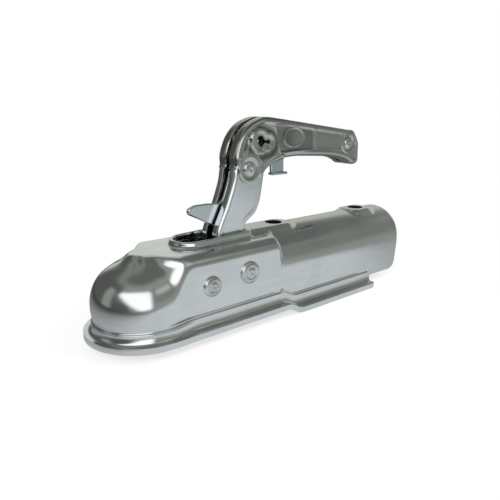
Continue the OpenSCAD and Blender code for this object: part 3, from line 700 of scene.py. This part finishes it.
# Cross cuts of the leg and of the grip's bend: (front edge, rear edge)
LEG_CUTS = [
    ((-13.2, 9), (12.6, 9)), ((-12.8, 19), (12.8, 20)), ((-12.2, 25.6), (13.0, 26.3)),
    ((-10.6, 30.0), (13.9, 29.3)), ((-9.0, 33.5), (17.2, 31.9)), ((-7.2, 37.0), (22.0, 35.2)),
    ((-5.0, 41.3), (25.4, 40.2)), ((-2.8, 46.4), (27.8, 47.3)), ((0.8, 55.8), (29.6, 57.0)),
    ((2.6, 62.0), (30.4, 61.8)), ((3.3, 67.4), (31.0, 63.4)), ((4.2, 69.4), (29.8, 65.0)),
    ((6.0, 71.4), (27.8, 67.0)),
]
GRIP_BEND = [
    ((2.5, 69.0), (30.9, 64.4)), ((3.8, 71.0), (31.2, 64.9)), ((3.5, 76.8), (32.1, 66.0)),
    ((5.1, 82.8), (34.2, 67.6)), ((7.8, 88.9), (37.0, 69.2)), ((12.0, 94.6), (40.4, 70.7)),
    ((17.8, 99.3), (43.7, 71.7)), ((25.4, 102.5), (47.2, 72.6)), ((33.0, 103.9), (50.8, 73.2)),
]
# Straight part of the grip: start, length and fall of its top, and its underside as (share, height)
GRIP_START = (41.4, 103.3)
GRIP_LENGTH = 88.5
GRIP_FALL = 0.124
GRIP_UNDER = [
    (0.06, 74.1), (0.2, 74.6), (0.32, 74.2), (0.55, 73.1), (0.72, 71.8), (0.86, 69.6), (0.94, 67.2),
]
# How much further back the underside starts, and how much shorter it is than the top
UNDER_BACK = 6
UNDER_SHORT = 7
GRIP_TIP = [
    ((0, 0), (-0.9, -27.8)), ((3.5, -3.5), (4.6, -28.0)), ((6.1, -7.5), (7.1, -26.6)),
    ((7.6, -10.7), (8, -24.6)),
]
TOP_RIVET = (15.6, 68.3)
END_RIVET = (123.1, 82.04)
# Lobes of the window as (x, z, radius), its middle, and how softly the lobes run together
CLOVER = [(25.6, 88.0, 3.2), (28.6, 86.9, 1.5), (33.0, 86.5, 1.8), (26.3, 85.1, 2.1)]
CLOVER_CENTRE = (27.6, 86.9)
CLOVER_REACH = 12.0
CLOVER_SOFT = 0.35
CLOVER_SET = 0.1
WINDOW_CUT = 16
LONG_PANEL = [(40.1, 100), (80.2, 96.3), (81.2, 79.6), (46.0, 78.4)]
END_PANEL = [(83.6, 95.4), (113.5, 91.4), (114.8, 77.4), (84.4, 79.6)]
BEND_MARK = [(14.7, 90.9), (17.3, 89), (11.1, 75.4), (8, 75.6)]
OVAL_AT = (60.0, 88.9)
OVAL = (10.8, 7.4)
# Distances from the outline of the close rows that follow a rounded edge
EDGE_STEPS = [0.0, 0.13, 0.5, 1.0, 1.7, 2.6, 3.5]
END_GAP = 3.9
# Wall from the rounded edge to the seam: (set back, share of the way)
PLAIN_WALL = [(0.0, 0.35), (0.0, 0.7), (0.3, 0.85), (1.0, 1.0)]
OPEN_WALL = [(0.0, 0.35), (0.0, 0.66), (0.25, 0.72), (1.2, 0.76), (3.0, 0.78), (3.2, 1.0)]
# Samples on a curve between two cuts, spacing of the points that edge distances are taken from, end rows
CURVE_SAMPLES = 24
OUTLINE_STEP = 0.2
END_ROWS = 40
# Share of the edge radius, and the run behind it, where the relief begins
RELIEF_FROM = 0.9
RELIEF_RUN = 0.8
# Rivet seat on the grip, as (radius, distance from the middle plane)
LOBE = [
    (0.0, 9.9), (8.9, 9.9), (9.7, 10.4), (10.0, 11.0), (9.85, 11.4), (9.3, 11.72), (8.6, 11.8), (7.9, 11.72),
    (7.0, 11.42), (6.0, 11.16), (5.2, 11.08), (0.0, 11.08),
]


def from_pivot(point):
    return (PIVOT[0] + point[0], PIVOT[1] + point[1])


def curve_through(points, share):
    """Point on a smooth curve through the points, share running from 0 to the last index."""
    last = len(points) - 1
    index = min(int(share), last - 1)
    t = share - index
    p0, p1, p2, p3 = (points[min(max(index + k, 0), last)] for k in (-1, 0, 1, 2))
    return tuple(
        0.5 * (2 * b + (c - a) * t + (2 * a - 5 * b + 4 * c - d) * t * t + (3 * b - a - 3 * c + d) * t ** 3)
        for a, b, c, d in zip(p0, p1, p2, p3)
    )


def grip_top(along):
    return (GRIP_START[0] + along, GRIP_START[1] - GRIP_FALL * along)


def grip_cuts():
    cuts = list(GRIP_BEND)
    for share, under in GRIP_UNDER:
        beneath = (GRIP_START[0] + UNDER_BACK + (GRIP_LENGTH - UNDER_SHORT) * share, under)
        cuts.append((grip_top(GRIP_LENGTH * share), beneath))
    end = grip_top(GRIP_LENGTH)
    return cuts + [tuple((end[0] + p[0], end[1] + p[1]) for p in pair) for pair in GRIP_TIP]


def even_cuts(cuts, step, closed_end):
    """The same cross cuts at an even spacing, closer together at a rounded end."""
    fronts = [cut[0] for cut in cuts]
    rears = [cut[1] for cut in cuts]
    fine = CURVE_SAMPLES * (len(cuts) - 1)
    samples = []
    for i in range(fine + 1):
        samples.append((curve_through(fronts, i / CURVE_SAMPLES), curve_through(rears, i / CURVE_SAMPLES)))
    run = [0.0]
    for before, after in zip(samples, samples[1:]):
        middle_before = Vector((before[0][0] + before[1][0], before[0][1] + before[1][1])) / 2
        middle_after = Vector((after[0][0] + after[1][0], after[0][1] + after[1][1])) / 2
        run.append(run[-1] + (middle_after - middle_before).length)
    total = run[-1]
    places = [total * i / round(total / step) for i in range(round(total / step) + 1)]
    if closed_end:
        places = [p for p in places if p < total - END_GAP] + [total - d for d in reversed(EDGE_STEPS)]
    made = []
    at = 0
    for place in places:
        while at < fine - 1 and run[at + 1] < place:
            at += 1
        share = (place - run[at]) / max(run[at + 1] - run[at], 1e-9)
        here, there = samples[at], samples[at + 1]
        made.append([[mix(here[k][axis], there[k][axis], share) for axis in (0, 1)] for k in (0, 1)])
    return made


def across_steps(length, count):
    inner = length - 2 * EDGE_STEPS[-1]
    steps = EDGE_STEPS + [EDGE_STEPS[-1] + inner * i / count for i in range(1, count)]
    return steps + [length - d for d in reversed(EDGE_STEPS)]


def polygon_distance(point, polygon):
    """Signed distance to a convex outline, below 0 inside."""
    px, py = point
    nearest = math.inf
    inside = True
    turn = 0
    for (ax, ay), (bx, by) in zip(polygon, polygon[1:] + polygon[:1]):
        dx, dy = bx - ax, by - ay
        t = min(max(((px - ax) * dx + (py - ay) * dy) / (dx * dx + dy * dy), 0), 1)
        nearest = min(nearest, math.hypot(px - ax - t * dx, py - ay - t * dy))
        side = dx * (py - ay) - dy * (px - ax)
        if turn == 0:
            turn = side
        elif turn * side < 0:
            inside = False
    return -nearest if inside else nearest


def clover_distance(point):
    """Distance outside the clover shaped window, with the necks between its lobes filled a little."""
    total = sum(math.exp(-(math.dist(point, (x, z)) - r) / CLOVER_SOFT) for x, z, r in CLOVER)
    return -CLOVER_SOFT * math.log(total) + CLOVER_SET


def ridge(distance, at, width):
    """Rounded ridge along the line at that distance, 1 at its crest."""
    return ease(1 - abs(distance - at) / width)


def within(distance, start, run):
    """0 beyond start, rising to 1 over the run inside it."""
    return ease((start - distance) / run)


def grip_relief(point, edge, share):
    """Height of the pressed relief, by distance from the outline (edge) and place across (share)."""
    height = -0.7 * ease((edge - 4.0) / 1.3) - 1.3 * (share - 0.5) ** 2
    panel = polygon_distance(point, LONG_PANEL)
    fading = mix(1.0, 0.4, ease((point[0] - 44) / 30))
    height += 0.35 * ridge(panel, 0.5, 0.8) - 0.9 * within(panel, 0.1, 1.1) * fading
    oval = math.hypot((point[0] - OVAL_AT[0]) / OVAL[0], (point[1] - OVAL_AT[1]) / OVAL[1])
    rim = (oval - 1) * OVAL[1]
    height += 0.6 * within(rim, 0.5, 0.8) - 0.35 * within(rim, -0.7, 0.8)
    end_panel = polygon_distance(point, END_PANEL)
    height += 0.2 * ridge(end_panel, 0.4, 0.7) - 0.12 * within(end_panel, 0.1, 0.8)
    mark = polygon_distance(point, BEND_MARK)
    height += 0.55 * ridge(mark, 0.5, 0.8) - 0.35 * within(mark, 0.1, 0.7)
    window = clover_distance(point)
    ring = within(window, 6.2, 1.5)
    height += 1.4 * ring - 0.75 * (1 - ring) * within(window, 11.0, 4.0) - 0.8 * within(window, 3.3, 2.2)
    lobe = math.dist(point, TOP_RIVET)
    height = max(height, mix(height, 0.5, within(lobe, 14.0, 4.0)))
    height = mix(height, -0.8, within(lobe, 9.6, 0.6))
    height = min(height, 0.85)
    dish = math.dist(point, END_RIVET)
    return mix(height, mix(-0.75, 0.05, ease((dish - 4.4) / 3.0)), within(dish, 9.0, 1.4))


def leg_relief(_point, edge, _share):
    """Plain pressed sides with a shallow bead down the front edge."""
    return -0.25 * ease((edge - 3.6) / 0.9)


def outline_tree(outline):
    """Search tree of points set closely along an outline."""
    dense = []
    for a, b in zip(outline, outline[1:]):
        pieces = max(1, math.ceil(math.dist(a, b) / OUTLINE_STEP))
        dense += [(mix(a[0], b[0], i / pieces), mix(a[1], b[1], i / pieces)) for i in range(pieces)]
    dense.append(outline[-1])
    tree = KDTree(len(dense))
    for index, (x, z) in enumerate(dense):
        tree.insert((x, z, 0), index)
    tree.balance()
    return tree


def pressed_half(name, cuts, width, step, count, radius, side, closed_end, relief, front_wall):
    """Outside of one half of the lever, from the seam over its rounded edge and across its face."""
    rows = even_cuts(cuts, step, closed_end)
    outline = [row[0] for row in rows]
    if closed_end:
        front, rear = rows[-1]
        outline += [tuple(mix(front[k], rear[k], i / END_ROWS) for k in (0, 1)) for i in range(1, END_ROWS)]
    outline += [row[1] for row in reversed(rows)]
    tree = outline_tree(outline)
    rings = []
    walls = [mix(width - radius, SEAM, share) for _, share in front_wall]
    for front, rear in rows:
        length = math.dist(front, rear)
        ring = []
        for place in across_steps(length, count):
            x, z = (mix(front[k], rear[k], place / length) for k in (0, 1))
            edge = tree.find((x, z, 0))[2]
            inward = min(edge, radius)
            y = width - radius + math.sqrt(max(radius * radius - (radius - inward) ** 2, 0.0))
            if edge > RELIEF_FROM * radius:
                begun = ease((edge - RELIEF_FROM * radius) / RELIEF_RUN)
                y += relief((x, z), edge, place / length) * begun
            ring.append((PIVOT[0] + x, side * y, PIVOT[1] + z))
        first, last = ring[0], ring[-1]
        down_front = [(first[0] + back, side * y, first[2]) for (back, _), y in zip(front_wall, walls)]
        down_rear = [(last[0], side * y, last[2]) for y in walls]
        rings.append(down_front[::-1] + ring + down_rear)
    if closed_end:
        for y in walls:
            rings.append([(x, side * min(abs(was), y), z) for x, was, z in rings[-1]])
    return loft(name, rings)


def turned(name, centre, profile, side):
    """Turned form about an axis along Y; the profile holds (radius, distance from the middle plane)."""
    rings = [[(x, side * out, z) for x, z in circle(centre, radius, 72)] for radius, out in profile]
    return loft(name, rings, closed_rings=True)


def clover_outline():
    """The window's edge, found along rays from its middle."""
    outline = []
    for ray_x, ray_z in circle((0, 0), 1.0, 96):
        low, high = 0.0, CLOVER_REACH
        for _ in range(24):
            reach = (low + high) / 2
            if clover_distance((CLOVER_CENTRE[0] + reach * ray_x, CLOVER_CENTRE[1] + reach * ray_z)) < 0:
                low = reach
            else:
                high = reach
        outline.append(from_pivot((CLOVER_CENTRE[0] + low * ray_x, CLOVER_CENTRE[1] + low * ray_z)))
    return outline


def finish_piece(piece, material, body, replaced):
    shade_smooth(piece)
    piece.data.materials.clear()
    piece.data.materials.append(material)
    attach(piece, body)
    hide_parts(*replaced)


def grip_half(name, side, finishes):
    half = pressed_half(name, grip_cuts(), LEVER_W, 0.6, 46, GRIP_EDGE_R, side, True, grip_relief, PLAIN_WALL)
    thicken(half, GRIP_SHEET)
    low, high = sorted((0, WINDOW_CUT * side))
    cut_away(half, prism("window_cut", clover_outline(), "Y", low, high))
    join_into(half, turned("rivet_lobe", from_pivot(TOP_RIVET), LOBE, side))
    finish_piece(half, finishes["grip"], "lever", ["grip_shell_left" if side > 0 else "grip_shell_right"])


def leg_half(name, side, finishes):
    half = pressed_half(name, LEG_CUTS, LEG_W, 1.6, 14, LEG_EDGE_R, side, False, leg_relief, OPEN_WALL)
    thicken(half, LEG_SHEET)
    finish_piece(half, finishes["leg"], "lever", ["leg_shell_left" if side > 0 else "leg_shell_right"])
    # Painted shade: the strip round the seam takes the near black inside finish
    half.data.materials.append(finishes["inside"])
    for face in half.data.polygons:
        if all(abs(half.data.vertices[corner].co.y) < SEAM_SHADE * MM for corner in face.vertices):
            face.material_index = 1


# Upset heads in steps of (scale, share of the rise)
STAKED = [
    (1.0, 0.28), (0.965, 0.22), (0.9, 0.2), (0.84, 0.14), (0.86, 0.06), (0.93, -0.08), (0.9, -0.1),
    (0.86, 0.02), (0.88, 0.12), (0.8, 0.1), (0.5, 0.04), (0.5, -0.12), (0.4, -0.04),
]
DOMED = [
    (1.0, 0.2), (0.97, 0.2), (0.92, 0.2), (0.88, 0.14), (0.84, 0.12), (0.78, 0.08), (0.7, 0.05), (0.72, 0.01),
    (0.85, -0.12), (0.6, -0.08), (0.3, 0.0),
]
# Each rivet: centre, shaft radius, seat from the middle plane, head radius, rise, body, node and head
RIVETS = {
    "jaw_pivot_rivet": (JAW_PIVOT, 5.0, 30.5, 7.0, 2.4, "housing", "jaw_rivet", STAKED),
    "lever_pivot_rivet": (PIVOT, 5.0, 30.5, 8.0, 2.6, "housing", "lever_rivet", STAKED),
    "lever_top_rivet": (from_pivot(TOP_RIVET), 4.0, 11.1, 5.4, 1.9, "lever", "top_rivet", DOMED),
    "grip_end_rivet": (from_pivot(END_RIVET), 3.0, 10.3, 4.8, 1.6, "lever", "end_rivet", DOMED),
}


def draw_out(change, steps, centre):
    """Extrude the selected cap in steps of (scale, move along Y), as a press would upset a rivet."""
    for scale, move in steps:
        bpy.ops.mesh.extrude_region_move(TRANSFORM_OT_translate={"value": (0, move * change * MM, 0)})
        bpy.ops.transform.resize(value=(scale, 1, scale), center_override=centre)


def select_cap(made, side):
    """Select the end face that looks along Y, to one side."""
    bpy.ops.mesh.select_all(action="DESELECT")
    cap = bmesh.from_edit_mesh(made.data)
    cap.faces.ensure_lookup_table()
    farthest = max(cap.faces, key=lambda face: side * face.calc_center_median().y)
    farthest.select_set(True)
    bmesh.update_edit_mesh(made.data)


def rivet(name, centre, shaft, seat, head, rise, body, node_name, steps, finishes):
    """Rivet through the part: shaft and two upset heads."""
    place = (centre[0] * MM, 0, centre[1] * MM)
    bpy.ops.object.select_all(action="DESELECT")
    bpy.ops.mesh.primitive_cylinder_add(
        vertices=72, radius=shaft * MM, depth=2 * seat * MM, location=place, rotation=(math.pi / 2, 0, 0),
    )
    made = bpy.context.object
    made.name = name
    bpy.ops.object.transform_apply(location=True, rotation=True, scale=True)
    bpy.ops.object.mode_set(mode="EDIT")
    bpy.ops.mesh.select_mode(type="FACE")
    for side in (1, -1):
        select_cap(made, side)
        draw_out(side * rise, [(head / shaft, 0.0)] + steps, place)
    bpy.ops.object.mode_set(mode="OBJECT")
    round_edges(made, 0.12, angle=25)
    finish_piece(made, finishes["rivet"], body, [node_name])


# Outline of the catch from the lever's pivot: fin, hub and web of the finger plate
CATCH_PLATE = [
    (0.0, 30.0), (-9.5, 29.2), (-14.9, 31.7), (-21.8, 35.4), (-29.6, 39.3), (-31.0, 41.3), (-29.8, 43.7),
    (-25.1, 45.5), (-15.0, 45.6), (-4.0, 44.8), (-0.4, 47.4), (2.8, 55.8), (4.9, 62.0), (6.8, 69.0),
    (12.0, 76.0), (24.0, 75.0), (44.0, 80.0), (58.0, 80.0), (58.4, 62.4), (45.2, 62.4), (45.0, 72.0),
    (34.0, 69.0), (28.0, 62.5), (19.0, 60.0), (8.0, 40.0),
]
CATCH_HALF = 1.5
FINGER_AT = (53.2, 61.6)
FINGER_SIZE = (15.6, 6.0, 2.0)


def catch_plate(finishes):
    """Flat catch: fin in front of the leg, hub on the upper rivet, and a finger plate under the grip."""
    plate = prism("catch_plate", [from_pivot(point) for point in CATCH_PLATE], "Y", -CATCH_HALF, CATCH_HALF)
    round_edges(plate, 0.8, angle=50, segments=1)
    x, z = from_pivot(FINGER_AT)
    bpy.ops.object.select_all(action="DESELECT")
    scale = [part * MM for part in FINGER_SIZE]
    bpy.ops.mesh.primitive_cube_add(size=1.0, location=(x * MM, 0, z * MM), scale=scale)
    finger = bpy.context.object
    bpy.ops.object.transform_apply(location=True, rotation=True, scale=True)
    round_edges(finger, 0.8, segments=3)
    join_into(plate, finger)
    finish_piece(plate, finishes["catch"], "catch", ["catch_lever"])


def add_lever(finishes):
    for side, word in ((1, "left"), (-1, "right")):
        grip_half("grip_" + word, side, finishes)
        leg_half("leg_" + word, side, finishes)
    for name, values in RIVETS.items():
        rivet(name, *values, finishes)
    catch_plate(finishes)


# Studio, in metres

OBJECT_CENTRE = (0.09, 0.0, 0.0)
FLOOR_Z = -0.0062
# Fade of the shadow: centre and scale of the distance, most shadow and where it ends
SHADOW_AT = (-0.32, 0.0, 0.0)
SHADOW_SCALE = (3.0, 3.0, 3.0)
SHADOW_STOPS = [(0.30, 0.26), (1.0, 0.0)]
# Painted pool of light on the table, seen in reflections only: place, turn in degrees, half lengths, fade and
# tone
POOL_AT = (0.204, -0.260, 0.0)
POOL_TURN = -50
POOL_SIZE = (0.41, 0.21, 1.0)
POOL_STOPS = [(0.36, 1.0), (0.40, 0.93), (0.45, 0.68), (0.50, 0.42), (0.575, 0.16), (0.70, 0.0)]
POOL_TONE = (0.535, 0.57, 0.575)
# Painted shade on the table outside the pool: tone along x and y, as shares of each and a start, and its
# stops
TABLE_SHADE_ALONG = (0.8, 0.6, 0.4)
TABLE_SHADE_STOPS = [
    (0.08, (0.05, 0.053, 0.047)), (0.25, (0.115, 0.12, 0.115)), (0.5, (0.12, 0.125, 0.12)),
    (0.95, (0.27, 0.285, 0.275)),
]
# Cards of the light tent: azimuth range, height range, soft edge and tone.
# Azimuth 0 is +X, and -90 faces the camera's side.
CARDS = [
    ((-100, -20), (9, 29), 14, 0.19),
    ((-90, 0), (-8, 8), 10, 0.27),
    ((-38, 46), (35, 68), 16, 0.13),
    ((-12, 50), (-10, 31), 12, 0.46),
    ((50, 88), (-10, 31), 10, 0.62),
    ((48, 82), (38, 60), 10, 0.48),
    ((88, 182), (-10, 56), 24, 0.09),
    ((148, 171), (-6, 38), 10, 0.27),
    ((-186, -146), (-14, 18), 10, 0.08),
    ((-88, -52), (27, 41), 11, 0.46),
]
# Bright card above the nose: outline as (azimuth, height), soft edge and tone
KEY_CARD = [(-122, -3), (-176, 31.5), (-172, 40), (-140, 45), (-108, 42), (-101, 36), (-99, 0), (-105, -6)]
KEY_SOFT = 10
KEY_TONE = 1.2
# Cloth of the tent: tone low, at middle height and at the top, and the heights over which it changes
CLOTH = (0.21, 0.28, 0.13)
CLOTH_MIDDLE = (36, 14)
CLOTH_TOP = (56, 18)
CLOTH_TINT = [(0.0, (1.0, 1.05, 0.94)), (0.5, (1.0, 1.05, 0.94)), (0.9, (1.0, 1.0, 1.0))]
# The tent in millimetres and degrees: radius, middle along X, lowest ring, height of all rings, and counts
TENT_R = 1900.0
TENT_X = 90
TENT_FOOT = -1.5
TENT_SPAN = 91.5
TENT_RINGS = 45
TENT_SIDES = 120


def glossy_ray(tree):
    return node(tree, "ShaderNodeLightPath").outputs["Is Glossy Ray"]


def painted_table_light(tree, place):
    """What the plated metal reflects of the table: a painted pool of light that fades into painted shade on
    the table.
    """
    pool_reach = vector_length(tree, mapped(tree, place, POOL_SIZE, POOL_AT, POOL_TURN, "TEXTURE"))
    pool = ramp(tree, math_node(tree, "MULTIPLY", pool_reach, 0.5), POOL_STOPS)
    where = split(tree, place)
    x_share, y_share, start = TABLE_SHADE_ALONG
    along = math_node(tree, "MULTIPLY_ADD", where["X"], x_share, start)
    along = math_node(tree, "SUBTRACT", along, math_node(tree, "MULTIPLY", where["Y"], y_share))
    return mix_colour(tree, pool, ramp(tree, along, TABLE_SHADE_STOPS), POOL_TONE)


def add_floor():
    """White sweep: plain white to the eye with a soft shadow, and a table with painted light and shade in
    reflections.
    """
    bpy.ops.mesh.primitive_plane_add(size=8.0, location=(OBJECT_CENTRE[0], 0.0, FLOOR_Z))
    floor = bpy.context.object
    floor.name = "studio_floor"
    bpy.ops.object.transform_apply(location=True)
    material, tree = bare_material("white_sweep")
    place = node(tree, "ShaderNodeTexCoord").outputs["Object"]
    reach = vector_length(tree, mapped(tree, place, SHADOW_SCALE, SHADOW_AT))
    plain = node(tree, "ShaderNodeEmission")
    # Glossy rays see the table's painted light and shade; the eye sees plain white
    colour = mix_colour(tree, glossy_ray(tree), (1.0, 1.0, 1.0), painted_table_light(tree, place))
    tree.links.new(colour, plain.inputs["Color"])
    paper = node(tree, "ShaderNodeBsdfDiffuse")
    paper.inputs["Color"].default_value = (0.88, 0.88, 0.88, 1)
    share = ramp(tree, reach, SHADOW_STOPS)
    eye_only = math_node(tree, "SUBTRACT", 1.0, glossy_ray(tree))
    blend = node(tree, "ShaderNodeMixShader")
    tree.links.new(math_node(tree, "MULTIPLY", share, eye_only), blend.inputs["Fac"])
    tree.links.new(plain.outputs["Emission"], blend.inputs[1])
    tree.links.new(paper.outputs["BSDF"], blend.inputs[2])
    surface_output(tree, blend.outputs["Shader"])
    floor.data.materials.append(material)
    floor.visible_diffuse = False


def soft_card(azimuth, height, azimuths, heights, soft):
    """Share of a soft edged card seen in a direction, in degrees."""
    turn = (azimuth - sum(azimuths) / 2 + 180) % 360 - 180
    across = ease(((azimuths[1] - azimuths[0]) / 2 - abs(turn)) / soft + 0.5)
    up = ease(((heights[1] - heights[0]) / 2 - abs(height - sum(heights) / 2)) / soft + 0.5)
    return across * up


def tent_tone(azimuth, height):
    low, middle, top = CLOTH
    tone = mix(low, middle, ease((height - CLOTH_MIDDLE[0]) / CLOTH_MIDDLE[1]))
    tone = mix(tone, top, ease((height - CLOTH_TOP[0]) / CLOTH_TOP[1]))
    for azimuths, heights, soft, level in CARDS:
        tone = mix(tone, level, soft_card(azimuth, height, azimuths, heights, soft))
    turned_round = azimuth - 360 if azimuth > 150 else azimuth
    return mix(tone, KEY_TONE, ease(0.5 - polygon_distance((turned_round, height), KEY_CARD) / KEY_SOFT))


def add_tent():
    """Grey tent with soft boxes and flags, seen only as reflections in the plated metal."""
    rings = []
    for level in range(TENT_RINGS + 1):
        up = math.radians(TENT_FOOT + TENT_SPAN * level / TENT_RINGS)
        ring = []
        for i in range(TENT_SIDES):
            turn = math.radians(3 * i - 180)
            x, y = TENT_R * math.cos(turn) * math.cos(up), TENT_R * math.sin(turn) * math.cos(up)
            ring.append((TENT_X + x, y, TENT_R * math.sin(up)))
        rings.append(ring)
    tent = loft("light_tent", rings, closed_rings=True)
    tone = tent.data.attributes.new("tone", "FLOAT", "POINT")
    for vertex, value in zip(tent.data.vertices, tone.data):
        x, y, z = vertex.co.x - OBJECT_CENTRE[0], vertex.co.y, vertex.co.z
        azimuth = math.degrees(math.atan2(y, x))
        value.value = tent_tone(azimuth, math.degrees(math.atan2(z, math.hypot(x, y))))
    material, tree = bare_material("tent_cloth")
    read = node(tree, "ShaderNodeAttribute", attribute_name="tone")
    light = node(tree, "ShaderNodeEmission")
    tree.links.new(ramp(tree, read.outputs["Fac"], CLOTH_TINT), light.inputs["Color"])
    tree.links.new(read.outputs["Fac"], light.inputs["Strength"])
    surface_output(tree, light.outputs["Emission"])
    tent.data.materials.append(material)
    tent.visible_camera = False
    tent.visible_diffuse = False
    tent.visible_shadow = False
    tent.visible_transmission = False


def add_lamp(name, position, size, power):
    lamp_data = bpy.data.lights.new(name, "AREA")
    lamp_data.shape = "DISK"
    lamp_data.size = size
    lamp_data.energy = power
    lamp = bpy.data.objects.new(name, lamp_data)
    lamp.matrix_world = Matrix.Translation(position) @ look_from(position, OBJECT_CENTRE, 0)
    lamp.visible_camera = False
    lamp.visible_glossy = False
    bpy.context.scene.collection.objects.link(lamp)


def add_world():
    """White surroundings for the eye, for metal and for glass, and an even fill."""
    world = bpy.data.worlds.new("studio")
    bpy.context.scene.world = world
    world.use_nodes = True
    tree = world.node_tree
    background = tree.nodes["Background"]
    background.inputs["Color"].default_value = (1, 1, 1, 1)
    rays = node(tree, "ShaderNodeLightPath")
    seen = math_node(tree, "MAXIMUM", rays.outputs["Is Camera Ray"], rays.outputs["Is Glossy Ray"])
    seen = math_node(tree, "MAXIMUM", seen, rays.outputs["Is Transmission Ray"])
    strength = math_node(tree, "ADD", math_node(tree, "MULTIPLY", seen, 0.45), 0.55)
    tree.links.new(strength, background.inputs["Strength"])


def add_studio():
    bpy.context.scene.view_settings.view_transform = "Standard"
    add_world()
    add_floor()
    add_tent()
    add_lamp("front_softbox", (-0.75, -0.75, 0.95), 0.7, 16.0)
    add_lamp("side_softbox", (0.7, -0.6, 0.9), 0.7, 7.0)


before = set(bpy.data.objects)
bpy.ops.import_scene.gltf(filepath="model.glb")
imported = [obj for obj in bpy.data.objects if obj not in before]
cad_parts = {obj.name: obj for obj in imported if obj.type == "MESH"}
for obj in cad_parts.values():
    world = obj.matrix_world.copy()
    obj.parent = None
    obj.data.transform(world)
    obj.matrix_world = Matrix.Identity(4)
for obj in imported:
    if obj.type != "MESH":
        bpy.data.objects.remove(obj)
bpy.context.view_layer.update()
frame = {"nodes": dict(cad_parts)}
bpy.ops.object.select_all(action="DESELECT")
add_camera()
add_studio()
finishes = add_finishes()
dress_nodes(frame, finishes)
pressed_housing(finishes)
add_lever(finishes)
